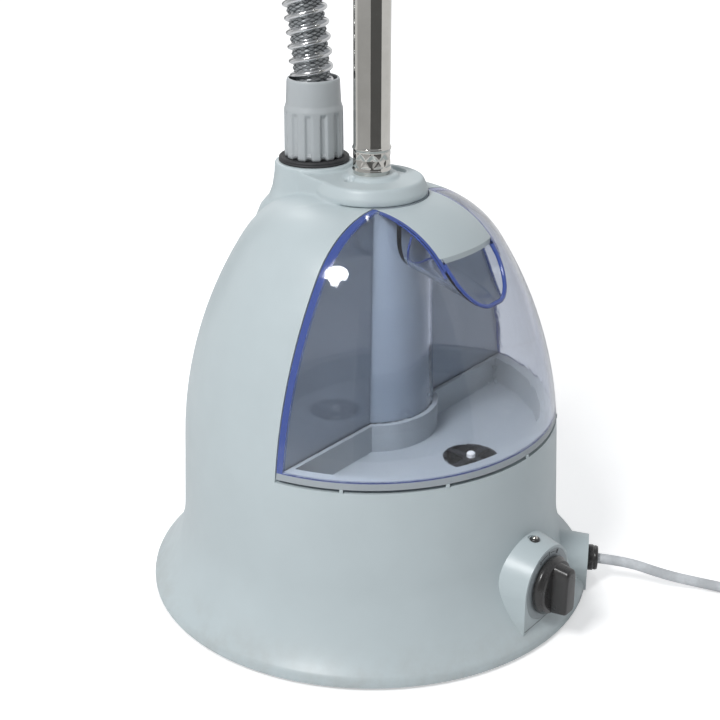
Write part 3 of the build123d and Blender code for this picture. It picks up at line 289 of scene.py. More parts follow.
def mouldedPlastic(name, colour, rough=0.36, grain=0.25, coat=0.12, shade=0.06, darkerBelow=0.0):
    make = Finish(name)
    cloudy = make.noise(9, 4, 0.6)
    fine = make.noise(2600, 2, 0.6)
    smear = make.noise(38, 5, 0.65)
    darker = tuple(c * (1 - shade) for c in colour[:3]) + (1,)
    lighter = tuple(min(1, c * (1 + shade)) for c in colour[:3]) + (1,)
    body = make.mix(cloudy.between(0.3, 0.7), darker, lighter)
    specks = make.cells(900).between(0.02, 0.09)
    body = make.mix((1 - specks) * 0.10, body, tone(0.25, 0.25, 0.25))
    # darker towards the bottom: smeared darker patches over the lowest 35 mm
    if darkerBelow:
        height = make.axes()[2]
        low = (1 - height.between(0.0, 0.035)) * smear.between(0.35, 0.7) * darkerBelow
        body = make.mix(low, body, tone(0.34, 0.34, 0.32))
    make.set(Base_Color=body, Coat_Weight=coat, Coat_Roughness=0.25)
    make.set(Roughness=rough - 0.05 + 0.10 * smear.between(0.3, 0.75) + 0.03 * fine)
    make.bump(fine * 0.7 + make.noise(700, 3, 0.5) * 0.3, 0.00006 * grain * 4, 0.5)
    return make.material


tankSet = {
    "clear": tone(0.875, 0.905, 0.965),
    "side": tone(0.60, 0.67, 0.94),
    "edge": tone(0.055, 0.095, 0.33),
}
domeSet = {  # the bell's outline above its wall: a long arc, a shoulder and a flat top
    "arc": 0.290, "arcOut": 0.155, "arcHeight": 0.105,
    "shoulder": 0.068, "shoulderOut": 0.03224, "shoulderHeight": 0.22363,
    "meet": 0.0897, "top": 0.29163,
}


def clearTank(name="clearTank", rimOnly=False):
    make = Finish(name)
    x, y, z = make.axes()
    facing = make.node("ShaderNodeLayerWeight", values={"Blend": 0.40}, out="Facing")
    body = make.mix(facing ** 3.5, tankSet["clear"], tankSet["side"])
    runs = make.join(x * 260, y * 260, z * 14)
    streak = make.noise(1.0, 4, 0.6, runs).between(0.56, 0.74)
    drops = (1 - make.cells(210).between(0.10, 0.32)) * make.noise(30, 3).between(0.50, 0.62)
    make.set(Base_Color=body, IOR=1.46, Transmission_Weight=1.0)
    make.set(Roughness=0.035 + 0.05 * streak + 0.04 * drops)
    make.bump(drops * 0.5 + streak * 0.2 + make.noise(40, 2) * 0.1, 0.00012, 0.25)
    rim = make.tree.nodes.new("ShaderNodeBsdfPrincipled")  # the moulding's thick blue edges, with a faint painted glow
    for socket, value in (("Base Color", tankSet["edge"]), ("Roughness", 0.12), ("Coat Weight", 0.6)):
        rim.inputs[socket].default_value = value
    # painted glow: faint blue emission on the rim, standing in for light carried along the thick edges
    rim.inputs["Emission Color"].default_value = tone(0.05, 0.10, 0.70)
    rim.inputs["Emission Strength"].default_value = 0.05
    away = (x * x + y * y).root()
    across, up = away + domeSet["arcOut"], z - domeSet["arcHeight"]
    side = domeSet["arc"] - (across * across + up * up).root()
    across, up = away - domeSet["shoulderOut"], z - domeSet["shoulderHeight"]
    crown = domeSet["shoulder"] - (across * across + up * up).root()
    depth = side + (crown - side) * z.between(0.2596, 0.2616)
    cut = y.between(-0.0297, -0.0290) * (1 - depth.between(0.0022, 0.0030))
    plate = x.size().between(0.0287, 0.0292) * (1 - x.size().between(0.0312, 0.0318))
    plate = plate * z.between(0.249, 0.250)
    plate = plate * y.between(-0.0850, -0.0835) * (1 - y.between(-0.0310, -0.0300))
    plate = plate * (1 - depth.between(0.0030, 0.0040))
    seam = (1 - z.between(0.1384, 0.1392)) * (1 - depth.between(0.0022, 0.0030))
    amount = 0.85 if rimOnly else cut.larger(seam * 0.8).larger(plate) * 0.85
    blend = make.tree.nodes.new("ShaderNodeMixShader")
    feed(make.tree, blend.inputs[0], amount)
    make.tree.links.new(make.face.outputs[0], blend.inputs[1])
    make.tree.links.new(rim.outputs[0], blend.inputs[2])
    make.tree.links.new(blend.outputs[0], make.tree.nodes["Material Output"].inputs[0])
    return make.material


def trayPlastic():
    make = Finish("trayPlastic")
    x, y = make.axes()[:2]
    cloudy = make.noise(14, 4, 0.6)
    fine = make.noise(2600, 2, 0.6)
    away = (x * x + (y + 0.088) * (y + 0.088)).root()
    # painted shade: inside the hole the tray is painted near-black and made shinier
    hole = 1 - away.between(0.0190, 0.0194)
    body = make.mix(cloudy.between(0.3, 0.7), tone(0.335, 0.372, 0.40), tone(0.37, 0.408, 0.435))
    scale = make.noise(55, 6, 0.7).between(0.60, 0.72) * 0.25  # faint limescale
    body = make.mix(scale, body, tone(0.62, 0.63, 0.64))
    make.set(Base_Color=make.mix(hole, body, tone(0.012, 0.012, 0.014)), Coat_Weight=0.1)
    make.set(Roughness=0.36 + 0.08 * fine - 0.12 * hole)
    make.bump(fine, 0.00006, 0.5)
    return make.material


def polishedChrome(name="poleChrome", rough=0.05):
    make = Finish(name)
    x, y, z = make.axes()
    drawn = make.noise(1.0, 4, 0.6, make.join(x * 900, y * 900, z * 9))
    smear = make.noise(26, 5, 0.6)
    body = make.mix(smear.between(0.3, 0.8), tone(0.545, 0.535, 0.505), tone(0.66, 0.65, 0.62))
    make.set(Base_Color=body, Metallic=1.0)
    make.set(Roughness=rough + 0.05 * smear.between(0.45, 0.8) + 0.04 * drawn.between(0.55, 0.75))
    make.bump(drawn, 0.00002, 0.4)
    return make.material


def brushedSteel(name, colour=(0.58, 0.58, 0.59, 1), rough=0.3):
    make = Finish(name)
    x, y, z = make.axes()
    brush = make.noise(1.0, 5, 0.65, make.join(x * 60, y * 2400, z * 2400))
    tarnish = make.noise(55, 5, 0.6)
    dim = tuple(c * 0.82 for c in colour[:3]) + (1,)
    make.set(Base_Color=make.mix(tarnish.between(0.35, 0.75), colour, dim), Metallic=1.0)
    make.set(Roughness=rough + 0.14 * brush.between(0.3, 0.8))
    make.bump(brush, 0.00004, 0.5)
    return make.material


def softRubber(name, colour, rough=0.6):
    make = Finish(name)
    fine = make.noise(3200, 2, 0.6)
    patch = make.noise(60, 4, 0.6)
    light = tuple(min(1, c * 1.35 + 0.01) for c in colour[:3]) + (1,)
    make.set(Base_Color=make.mix(patch.between(0.35, 0.75), colour, light))
    make.set(Roughness=rough + 0.12 * patch)
    make.bump(fine, 0.00006, 0.6)
    return make.material


def castMetal(name):
    make = Finish(name)
    grain = make.noise(1400, 4, 0.7)
    patch = make.noise(40, 4, 0.6)
    make.set(Base_Color=make.mix(patch, tone(0.50, 0.51, 0.53), tone(0.66, 0.67, 0.68)), Metallic=1.0)
    make.set(Roughness=0.42 + 0.14 * grain)
    make.bump(grain, 0.00012, 0.7)
    return make.material


def hoseSleeve():
    make = Finish("hoseSleeve")
    u, v = make.axes(make.node("ShaderNodeTexCoord", out="UV"))[:2]
    left = (u * 40 + v * 1150).wave()
    right = (u * 40 - v * 1150).wave()
    strands = left.larger(right)
    thread = (left.size() * right.size()).between(0.05, 0.6)
    patch = make.noise(50, 4, 0.6)
    body = make.mix(thread, tone(0.06, 0.065, 0.07), tone(0.30, 0.32, 0.33))
    body = make.mix(patch.between(0.4, 0.8) * 0.35, body, tone(0.50, 0.51, 0.53))
    make.set(Base_Color=body, Roughness=0.42 + 0.2 * (1 - thread), Metallic=0.5)
    make.bump(strands * 0.5 + thread * 0.5, 0.0003, 0.9)
    return make.material


def hoseWire():
    make = Finish("hoseWire")
    patch = make.noise(90, 5, 0.6)
    make.set(Base_Color=make.mix(patch, tone(0.56, 0.57, 0.58), tone(0.74, 0.75, 0.76)))
    make.set(Metallic=1.0, Roughness=0.13 + 0.12 * patch)
    make.bump(make.noise(1500, 3), 0.00005, 0.5)
    return make.material


finishes = {
    "housing": mouldedPlastic("housingPlastic", tone(0.505, 0.575, 0.595), 0.39, 0.25, 0.10, 0.03, 0.35),
    "seat": mouldedPlastic("seatPlastic", tone(0.40, 0.455, 0.50), 0.42, 0.4, 0.05),
    "tray": trayPlastic(),
    "nut": mouldedPlastic("nutPlastic", tone(0.425, 0.455, 0.47), 0.33, 0.3, 0.2),
    "knob": mouldedPlastic("knobPlastic", tone(0.030, 0.029, 0.029), 0.27, 0.3, 0.35, 0.08),
    "dial": mouldedPlastic("dialPlastic", tone(0.35, 0.39, 0.41), 0.40, 0.5, 0.05),
    "mark": mouldedPlastic("dialMarks", tone(0.035, 0.037, 0.04), 0.45, 0.2, 0.0),
    "tank": clearTank(),
    "tankRim": clearTank("tankRim", True),
    "white": mouldedPlastic("valveWhite", tone(0.80, 0.81, 0.82), 0.35, 0.2, 0.2),
    "chrome": polishedChrome(),
    "steel": brushedSteel("zincSteel"),
    "sole": brushedSteel("soleSteel", tone(0.68, 0.69, 0.70), 0.2),
    "cast": castMetal("castAluminium"),
    "silicone": softRubber("silicone", tone(0.70, 0.70, 0.68), 0.45),
    "rubber": softRubber("blackRubber", tone(0.022, 0.022, 0.024), 0.55),
    "cord": softRubber("cordSheath", tone(0.50, 0.52, 0.54), 0.34),
    "sleeve": hoseSleeve(),
    "wire": hoseWire(),
}
print("finishes made")

nodeFinish = {
    "housing": ["housing_shell", "top_cap", "tank_handle_plate", "head_shell_front", "head_shell_rear"],
    "seat": ["tank_seat", "base_pan", "pole_socket", "terminal_block", "pole_guide_bush", "inlet_pin",
             "thermal_fuse"],
    "tray": ["tank_tray"],
    "nut": ["hose_nut", "hose_cuff", "clamp_collar", "hanger_bracket", "hanger_arm_left", "hanger_arm_right",
            "head_cradle", "steam_outlet"],
    "knob": ["control_knob", "cable_gland", "clamp_lever", "rotary_switch", "valve_cap"],
    "dial": ["dial_plate"],
    "tank": ["tank_shell"],
    "white": ["valve_plunger"],
    "chrome": ["pole_lower", "pole_upper", "indicator_lamp"],
    "steel": ["cap_screws", "base_screws", "heater_bracket", "heating_element", "thermostat", "lever_pin",
              "arm_pins", "valve_spring"],
    "sole": ["sole_plate"],
    "cast": ["heater_body"],
    "silicone": ["feed_tube", "steam_tube", "well_gasket"],
    "rubber": ["rubber_feet", "port_gasket", "cap_seal"],
    "cord": ["mains_cord", "cord_coil", "mains_plug", "steam_hose"],
}


def paint(obj, finish):
    obj.data.materials.clear()
    obj.data.materials.append(finishes[finish])


for finishName, members in nodeFinish.items():
    for member in members:
        paint(cadNode[member], finishName)
cadNode["tank_shell"].visible_shadow = False  # light reaches the inside of the clear tank
print("CAD nodes painted")

# mesh helpers


def addMesh(name, points, faces, finish, smooth=True):
    mesh = bpy.data.meshes.new(name)
    mesh.from_pydata([tuple(p) for p in points], [], faces)
    mesh.polygons.foreach_set("use_smooth", [smooth] * len(mesh.polygons))
    obj = bpy.data.objects.new(name, mesh)
    bpy.context.collection.objects.link(obj)
    if finish:
        obj.data.materials.append(finishes[finish])
    return obj


def smoothLine(points, steps):
    curve = bpy.data.curves.new("guide", "CURVE")
    curve.dimensions = "3D"
    spline = curve.splines.new("NURBS")
    spline.points.add(len(points) - 1)
    for knot, point in zip(spline.points, points):
        knot.co = (*point, 1)
    spline.order_u = 3
    spline.use_endpoint_u = True
    spline.resolution_u = steps
    guide = bpy.data.objects.new("guide", curve)
    mesh = bpy.data.meshes.new_from_object(guide)
    line = [v.co.copy() for v in mesh.vertices]
    bpy.data.objects.remove(guide)
    bpy.data.meshes.remove(mesh)
    return line


def evenly(line, step):
    total = sum((b - a).length for a, b in zip(line, line[1:]))
    count = max(2, round(total / step))
    gap = total / count
    result, walked, want = [line[0]], 0.0, gap
    for a, b in zip(line, line[1:]):
        run = (b - a).length
        while run > 0 and walked + run >= want - 1e-9 and len(result) < count:
            result.append(a.lerp(b, (want - walked) / run))
            want += gap
        walked += run
    result.append(line[-1])
    return result, gap


# mains cord, lying off to the right with its spare length in a coil

cordSet = {
    "diameter": 0.0075,
    "outer": 0.04875,
    "lane": 0.0075,
    "layers": (0.00375, 0.01125),
    "perTurn": 10,
    "centre": (0.186, -0.312),
}


def cordRoute():
    cx, cy = cordSet["centre"]
    lane = cx - cordSet["outer"]
    route = [
        (0.0737, -0.1329, 0.020),
        (0.0911, -0.1644, 0.020),
        (0.104, -0.193, 0.012),
        (0.121, -0.214, 0.00495),
        (0.132, -0.246, 0.00375),
        (lane, cy + 0.048, 0.00375),
        (lane, cy + 0.030, 0.00375),
    ]
    spread = 1 / (0.5 + 0.5 * math.cos(math.pi / cordSet["perTurn"]))
    turns = 3
    for layer, height in enumerate(cordSet["layers"]):
        count = turns * cordSet["perTurn"]
        for step in range(count):
            part = (step + 0.5) / count
            inward = part if layer == 0 else 1 - part
            radius = cordSet["outer"] - 2 * cordSet["lane"] * inward
            angle = math.pi + 2 * math.pi * turns * part
            ease = 0.0
            if layer == 0 and step > count - 4:
                ease = (step - count + 4) / 4
            rise = height + ease * (cordSet["layers"][1] - height)
            route.append(
                (cx + radius * spread * math.cos(angle), cy + radius * spread * math.sin(angle), rise)
            )
    route.append((lane, cy - 0.012, 0.01125))
    route.append((lane, cy - 0.036, 0.01125))
    return route


def makeCord():
    curve = bpy.data.curves.new("mainsCord", "CURVE")
    curve.dimensions = "3D"
    route = cordRoute()
    spline = curve.splines.new("NURBS")
    spline.points.add(len(route) - 1)
    for knot, point in zip(spline.points, route):
        knot.co = (*point, 1)
    spline.order_u = 3
    spline.use_endpoint_u = True
    spline.resolution_u = 8
    curve.bevel_depth = cordSet["diameter"] / 2
    curve.bevel_resolution = 5
    curve.use_fill_caps = True
    cord = bpy.data.objects.new("mainsCordLine", curve)
    bpy.context.collection.objects.link(cord)
    curve.materials.append(finishes["cord"])
    line = smoothLine(route, 12)
    length = sum((b - a).length for a, b in zip(line, line[1:]))
    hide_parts("mains_cord", "cord_coil")
    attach(cord, "base")
    print("mains cord", round(length, 3), "m")


makeCord()

# steam hose: a braided sleeve with a wire wound round it

hoseSet = {
    "route": [
        (0, 0.051, 0.328),
        (0, 0.051, 0.380),
        (0, 0.069, 0.466),
        (0, 0.115, 0.596),
        (0, 0.179, 0.736),
        (0, 0.185, 0.866),
        (0, 0.129, 0.998),
        (0, 0.062, 1.100),
        (0, 0.062, 1.176),
    ],
    "core": 0.0122,
    "rib": 0.0152,
    "pitch": 0.0097,
    "ribHalf": 0.0023,
    "around": 40,
    "step": 0.0008,
}


def makeHose():
    line, gap = evenly(smoothLine(hoseSet["route"], 40), hoseSet["step"])
    around = hoseSet["around"]
    points, faces, tags, coords = [], [], [], []
    tangents = [
        (line[min(n + 1, len(line) - 1)] - line[max(n - 1, 0)]).normalized() for n in range(len(line))
    ]
    for row, (centre, tangent) in enumerate(zip(line, tangents)):
        side = Vector((1, 0, 0))
        out = tangent.cross(side).normalized()
        for column in range(around):
            share = column / around
            angle = 2 * math.pi * share
            phase = (row * gap / hoseSet["pitch"] - share) % 1.0
            off = abs(phase - 0.5) * hoseSet["pitch"]
            swell = 0.0
            if off < hoseSet["ribHalf"]:
                swell = math.sqrt(1 - (off / hoseSet["ribHalf"]) ** 2)
            sag = 0.0006 * math.cos(2 * math.pi * min(phase, 1 - phase) * 2)
            radius = hoseSet["core"] + sag * (1 - swell) + (hoseSet["rib"] - hoseSet["core"]) * swell
            points.append(centre + radius * (math.cos(angle) * side + math.sin(angle) * out))
    for row in range(len(line) - 1):
        for column in range(around):
            after = (column + 1) % around
            a, b = row * around + column, row * around + after
            faces.append((a, b, b + around, a + around))
            share = (column + 0.5) / around
            phase = ((row + 0.5) * gap / hoseSet["pitch"] - share) % 1.0
            tags.append(1 if abs(phase - 0.5) * hoseSet["pitch"] < hoseSet["ribHalf"] * 1.02 else 0)
            low, high = column / around, (column + 1) / around
            near, far = row * gap, (row + 1) * gap
            coords.append([(low, near), (high, near), (high, far), (low, far)])
    hose = addMesh("steamHoseLine", points, faces, "sleeve")
    hose.data.materials.append(finishes["wire"])
    hose.data.polygons.foreach_set("material_index", tags)
    layer = hose.data.uv_layers.new(name="along")
    flat = [value for corners in coords for corner in corners for value in corner]
    layer.data.foreach_set("uv", flat)
    length = gap * (len(line) - 1)
    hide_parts("steam_hose")
    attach(hose, "base")
    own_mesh(hose)
    line[::4] + [line[-1]]
    print("steam hose", round(length, 3), "m")


makeHose()

# turned pieces


def turn(name, profile, finish, around=96, centre=(0, 0, 0), frameAxes=None, warp=None):
    # profile is (radius, height) pairs; warp changes a point's radius and height by angle
    points, faces = [], []
    rows = len(profile)
    for radius, height in profile:
        for column in range(around):
            angle = 2 * math.pi * column / around
            r, h = warp(radius, height, angle) if warp else (radius, height)
            points.append(Vector((r * math.cos(angle), r * math.sin(angle), h)))
    for row in range(rows - 1):
        for column in range(around):
            after = (column + 1) % around
            a, b = row * around + column, row * around + after
            faces.append((a, b, b + around, a + around))
    obj = addMesh(name, points, faces, finish)
    rig = Matrix.Translation(Vector(centre)) @ (frameAxes or Matrix.Identity(4))
    obj.data.transform(rig)
    clean = bmesh.new()
    clean.from_mesh(obj.data)
    bmesh.ops.remove_doubles(clean, verts=clean.verts, dist=1e-6)
    bmesh.ops.holes_fill(clean, edges=[e for e in clean.edges if e.is_boundary], sides=0)
    bmesh.ops.recalc_face_normals(clean, faces=clean.faces)
    clean.to_mesh(obj.data)
    clean.free()
    obj.data.polygons.foreach_set("use_smooth", [True] * len(obj.data.polygons))
    return obj


def rounded(profile, size=0.0008, steps=3):
    # the same outline with its corners rounded
    result = []
    last = len(profile) - 1
    for n, corner in enumerate(profile):
        here = Vector(corner)
        if n in (0, last):
            result.append(tuple(here))
            continue
        before, after = Vector(profile[n - 1]), Vector(profile[n + 1])
        back, on = before - here, after - here
        reach = min(size, back.length * 0.45, on.length * 0.45)
        start, end = here + back.normalized() * reach, here + on.normalized() * reach
        for step in range(steps + 1):
            t = step / steps
            result.append(tuple((1 - t) ** 2 * start + 2 * t * (1 - t) * here + t * t * end))
    return result


def keepFlat(obj, angle=40):
    # smooth shading that stops at corners
    clean = bmesh.new()
    clean.from_mesh(obj.data)
    limit = math.radians(angle)
    for edge in clean.edges:
        if len(edge.link_faces) == 2:
            edge.smooth = edge.calc_face_angle(0) < limit
    clean.to_mesh(obj.data)
    clean.free()


portCentre = (0, 0.051, 0)
nutSet = {"flutes": 12, "depth": 0.0016, "low": 0.3092, "fluteTop": 0.342, "top": 0.3638}


def makeNut():
    low, top, fluteTop = nutSet["low"], nutSet["top"], nutSet["fluteTop"]

    def flutes(radius, height, angle):
        wave = math.cos(nutSet["flutes"] * angle)
        groove = max(0.0, min(1.0, (wave + 0.15) / 1.0))
        groove = groove * groove * (3 - 2 * groove)
        if radius < 0.0185:
            return radius, height
        fade = max(0.0, min(1.0, (fluteTop - height) / 0.003))
        fade = fade * fade * (3 - 2 * fade)
        lift = 0.0015 * groove if height < low + 0.0035 else 0.0
        return radius - nutSet["depth"] * groove * fade, height + lift

    profile = [(0.0164, low + 0.001), (0.0176, low), (0.0198, low), (0.0205, low + 0.0007),
               (0.0206, low + 0.0018)]
    steps = 26
    for n in range(steps + 1):
        profile.append((0.0206 - 0.0002 * n / steps, low + 0.0030 + (fluteTop - low - 0.0030) * n / steps))
    profile += rounded([(0.0204, fluteTop + 0.0006), (0.0200, fluteTop + 0.002), (0.0192, fluteTop + 0.0042),
                        (0.0184, top - 0.0022), (0.0180, top - 0.0004), (0.0168, top), (0.0164, top - 0.001),
                        (0.0164, low + 0.001)], 0.0008, 4)
    nut = turn("hoseNutFluted", profile, "nut", 240, portCentre, warp=flutes)
    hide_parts("hose_nut")
    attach(nut, "nut")
    ring = [(0.0165, 0.3062), (0.0246, 0.3062), (0.0249, 0.3070), (0.0242, 0.3078), (0.0247, 0.3088),
            (0.0236, 0.3098), (0.0210, 0.3092), (0.0165, 0.3090), (0.0165, 0.3062)]
    gasket = turn("portGasketRing", rounded(ring, 0.0004), "rubber", 96, portCentre)
    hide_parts("port_gasket")
    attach(gasket, "base")


poleSet = {
    "radius": 0.0125, "wall": 0.0009, "foot": 0.2370, "top": 0.920,
    "beadLow": 0.3085, "beadHigh": 0.3232, "dimples": 9,
}


def makePole():
    beadLow, beadHigh = poleSet["beadLow"], poleSet["beadHigh"]
    middle = (beadLow + beadHigh) / 2

    def crimp(radius, height, angle):
        if radius < 0.0122:
            return radius, height
        swell = 0.0008 * math.exp(-((height - beadLow) / 0.0012) ** 2)
        swell += 0.0008 * math.exp(-((height - beadHigh) / 0.0012) ** 2)
        share = (angle * poleSet["dimples"] / (2 * math.pi)) % 1.0
        diamond = 1 - abs(share - 0.5) * 2 - abs(height - middle) / 0.0052
        press = max(0.0, diamond)
        between = max(0.0, 1 - abs(height - middle) / 0.0062)
        return radius + swell + 0.0002 * min(1, between * 3) - 0.0018 * min(0.6, press), height

    radius = poleSet["radius"]
    heights = [poleSet["foot"]]
    heights += [0.3040 + 0.0004 * n for n in range(58)]
    heights += [0.34 + 0.02 * n for n in range(29)] + [poleSet["top"] - 0.0004]
    bore, foot, top = radius - poleSet["wall"], poleSet["foot"], poleSet["top"]
    profile = [(bore, foot)] + [(radius, h) for h in heights]
    profile += [(radius - 0.0003, top), (bore, top), (bore, foot)]
    pole = turn("poleLowerTube", profile, "chrome", 144, warp=crimp)
    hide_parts("pole_lower")
    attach(pole, "base")


makeNut()
makePole()
print("nut, gasket and lower pole made")

# spring of the tank's valve, built at rest; the valve squeezes it as it lifts

springSet = {"wire": 0.0005, "pitch": 0.0022, "stroke": 0.004, "perTurn": 24, "around": 8}


def makeSpring():
    low, high = [Vector(corner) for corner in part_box("valve_spring")]
    wire, around = springSet["wire"], springSet["around"]
    centre = (low + high) / 2
    radius = (high.x - low.x) / 2 - wire
    height = high.z - low.z - 2 * wire
    count = int(height / springSet["pitch"] * springSet["perTurn"])
    points, faces = [], []
    for step in range(count + 1):
        angle = 2 * math.pi * step / springSet["perTurn"]
        out = Vector((math.cos(angle), math.sin(angle), 0))
        middle = Vector((centre.x, centre.y, low.z + wire + height * step / count)) + radius * out
        for column in range(around):
            turned = 2 * math.pi * column / around
            points.append(middle + wire * (math.cos(turned) * out + math.sin(turned) * Vector((0, 0, 1))))
    for row in range(count):
        for column in range(around):
            after = (column + 1) % around
            a, b = row * around + column, row * around + after
            faces.append((a, b, b + around, a + around))
    faces.append(tuple(range(around - 1, -1, -1)))
    faces.append(tuple(range(count * around, (count + 1) * around)))
    spring = addMesh("valveSpringCoil", points, faces, "steel")
    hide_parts("valve_spring")
    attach(spring, "tank")
    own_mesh(spring)


makeSpring()
print("valve spring made")

# top cap, one moulding with the hose port

capSet = {"voxel": 0.0008, "rounds": 7, "offset": 0.0003}


def domeHeight(radius):
    if radius < domeSet["shoulderOut"]:
        return domeSet["top"]
    if radius < domeSet["meet"]:
        rise = domeSet["shoulder"] ** 2 - (radius - domeSet["shoulderOut"]) ** 2
        return domeSet["shoulderHeight"] + math.sqrt(max(0.0, rise))
    rise = domeSet["arc"] ** 2 - (radius + domeSet["arcOut"]) ** 2
    return domeSet["arcHeight"] + math.sqrt(max(0.0, rise))


def makeCap():
    parts = []
    disc = turn("capDisc", [(0, 0.2920), (0.0383, 0.2920), (0.0383, 0.2957), (0.0356, 0.3017),
                            (0.0344, 0.3029),
                            (0.0192, 0.3032), (0.0178, 0.3052), (0.0160, 0.3056), (0, 0.3056)], None, 160)
    boss = turn("capBoss", [(0, 0.250), (0.0455, 0.250), (0.0425, 0.2640), (0.0385, 0.2735), (0.0325, 0.2805),
                            (0.0296, 0.2880), (0.0280, 0.2980), (0.0276, 0.3050), (0.0268, 0.3060),
                            (0, 0.3060)],
                None, 160, portCentre)
    parts += [disc, boss]
    outline = [(-0.0345, 0.010), (0.0345, 0.010), (0.0275, 0.048), (-0.0275, 0.048)]
    low = [(x, y, 0.280) for x, y in outline]
    high = [(x * 0.93, y, 0.3018 + (y - 0.01) * 0.07) for x, y in outline]
    sides = [(n, (n + 1) % 4, (n + 1) % 4 + 4, n + 4) for n in range(4)]
    bridge = addMesh("capBridge", low + high, [(3, 2, 1, 0), (4, 5, 6, 7)] + sides, None)
    parts.append(bridge)
    points, faces, index = [], [], {}
    step, reachX, lowY, highY = 0.002, 0.074, -0.0232, 0.116
    columns, rows = int(2 * reachX / step), int((highY - lowY) / step)
    for row in range(rows + 1):
        for column in range(columns + 1):
            x, y = -reachX + column * step, lowY + row * step
            away = math.hypot(x / 0.068, (y - 0.046) / 0.064)
            lift = capSet["offset"] - 0.0016 * max(0.0, away - 0.80) / 0.2
            height = domeHeight(math.hypot(x, y)) + lift
            index[row, column, 1] = len(points)
            points.append((x, y, height))
            index[row, column, 0] = len(points)
            points.append((x, y, height - 0.006))
    for row in range(rows):
        for column in range(columns):
            a, b = (row, column), (row, column + 1)
            c, d = (row + 1, column + 1), (row + 1, column)
            faces.append([index[(*p, 1)] for p in (a, b, c, d)])
            faces.append([index[(*p, 0)] for p in (d, c, b, a)])
    rim = [(0, c) for c in range(columns + 1)] + [(r, columns) for r in range(1, rows + 1)]
    rim += [(rows, c) for c in range(columns - 1, -1, -1)] + [(r, 0) for r in range(rows - 1, 0, -1)]
    for p, q in zip(rim, rim[1:] + rim[:1]):
        faces.append([index[(*p, 0)], index[(*q, 0)], index[(*q, 1)], index[(*p, 1)]])
    parts.append(addMesh("capPatch", points, faces, None))
    merged = bmesh.new()
    for part in parts:
        merged.from_mesh(part.data)
    mesh = bpy.data.meshes.new("topCapMoulding")
    merged.to_mesh(mesh)
    merged.free()
    for part in parts:
        bpy.data.objects.remove(part)
    cap = bpy.data.objects.new("topCapMoulding", mesh)
    bpy.context.collection.objects.link(cap)
    remesh = cap.modifiers.new("join", "REMESH")
    remesh.mode = "VOXEL"
    remesh.voxel_size = capSet["voxel"]
    remesh.use_smooth_shade = True
    smooth = cap.modifiers.new("round", "SMOOTH")
    smooth.factor = 0.5
    smooth.iterations = capSet["rounds"]
    ready = bpy.data.meshes.new_from_object(cap.evaluated_get(bpy.context.evaluated_depsgraph_get()))
    cap.modifiers.clear()
    cap.data = ready
    shape = bmesh.new()
    shape.from_mesh(ready)
    gone = []
    for v in shape.verts:
        x, y, z = v.co
        if z > 0.300 and y < 0.03:
            tear = math.hypot((x + 0.0188) / 0.0034, (y - 0.0037) / 0.0027)
            slot = math.hypot((x - 0.0265 - y * 0.35) / 0.0030, (y + 0.004) / 0.0075)
            v.co.z -= 0.0046 * max(0.0, min(1.0, (1.15 - tear) * 4.5))
            v.co.z -= 0.0032 * max(0.0, min(1.0, (1.2 - slot) * 2.5))
        if z < domeHeight(math.hypot(x, y)) - 0.0012 and y > -0.022:
            gone.append(v)
    bmesh.ops.delete(shape, geom=gone, context="VERTS")
    shape.to_mesh(ready)
    shape.free()
    ready.polygons.foreach_set("use_smooth", [True] * len(ready.polygons))
    ready.materials.clear()
    ready.materials.append(finishes["housing"])
    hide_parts("top_cap", "cap_screws")
    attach(cap, "base")
    print("top cap", len(ready.polygons), "faces")


makeCap()

# control knob, dial, lamp and gland

dialFront = Matrix.Rotation(math.radians(90), 4, "X")  # local +Z becomes -Y
knobSet = {
    "centre": (0, -0.1558, 0.041), "disc": 0.0210, "foot": 0.0066, "edge": 0.0022, "taper": 0.07,
    "barWidth": 0.0150, "barLength": 0.0365, "barHeight": 0.0115,
}
dialSet = {"face": -0.15495, "radius": 0.0236, "spread": 26.5}


def makeKnob():
    disc = knobSet["disc"]
    profile = rounded([(0, 0), (disc - 0.0006, 0), (disc, 0.0006), (disc, 0.0030), (disc - 0.0016, 0.0052),
                       (disc - 0.0022, 0.0066), (disc - 0.0050, 0.0071), (0, 0.0071)], 0.0006)
    face = turn("knobDisc", profile, "knob", 128, knobSet["centre"], dialFront)
    points, faces = [], []
    around = 96
    levels = []
    height, foot, edge, taper = (knobSet[key] for key in ("barHeight", "foot", "edge", "taper"))
    for n in range(9):
        part = n / 8
        levels.append((foot + (height - edge) * part, 1 - taper * part))
    for n in range(1, 7):
        angle = n * math.pi / 12
        rise, inset = edge * math.sin(angle), edge * (1 - math.cos(angle))
        levels.append((foot + height - edge + rise, 1 - taper, inset))
    for level in levels:
        z, scale = level[0], level[1]
        inset = level[2] if len(level) > 2 else 0.0
        halfX = knobSet["barWidth"] / 2 * scale - inset
        halfY = knobSet["barLength"] / 2 * scale - inset
        for column in range(around):
            angle = 2 * math.pi * column / around
            c, s = math.cos(angle), math.sin(angle)
            power = 0.5 if s > 0 else 0.34  # the pointer end is rounder
            x = halfX * math.copysign(abs(c) ** power, c)
            y = halfY * math.copysign(abs(s) ** (0.75 if s > 0 else 0.34), s)
            pinch = 1 - 0.10 * math.cos(math.pi * y / (2 * halfY)) * (z - foot) / height
            points.append((x * pinch, y, z))
    for row in range(len(levels) - 1):
        for column in range(around):
            after = (column + 1) % around
            a, b = row * around + column, row * around + after
            faces.append((a, b, b + around, a + around))
    faces.append(tuple(range(around - 1, -1, -1)))
    top = (len(levels) - 1) * around
    faces.append(tuple(range(top, top + around)))
    bar = addMesh("knobBar", points, faces, "knob")
    bar.data.transform(Matrix.Translation(Vector(knobSet["centre"])) @ dialFront)
    keepFlat(bar, 50)
    for piece in (face, bar):
        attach(piece, "knob")
    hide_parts("control_knob")


def onDial(place):
    return Matrix.Translation(Vector((place[0], dialSet["face"], place[1]))) @ dialFront


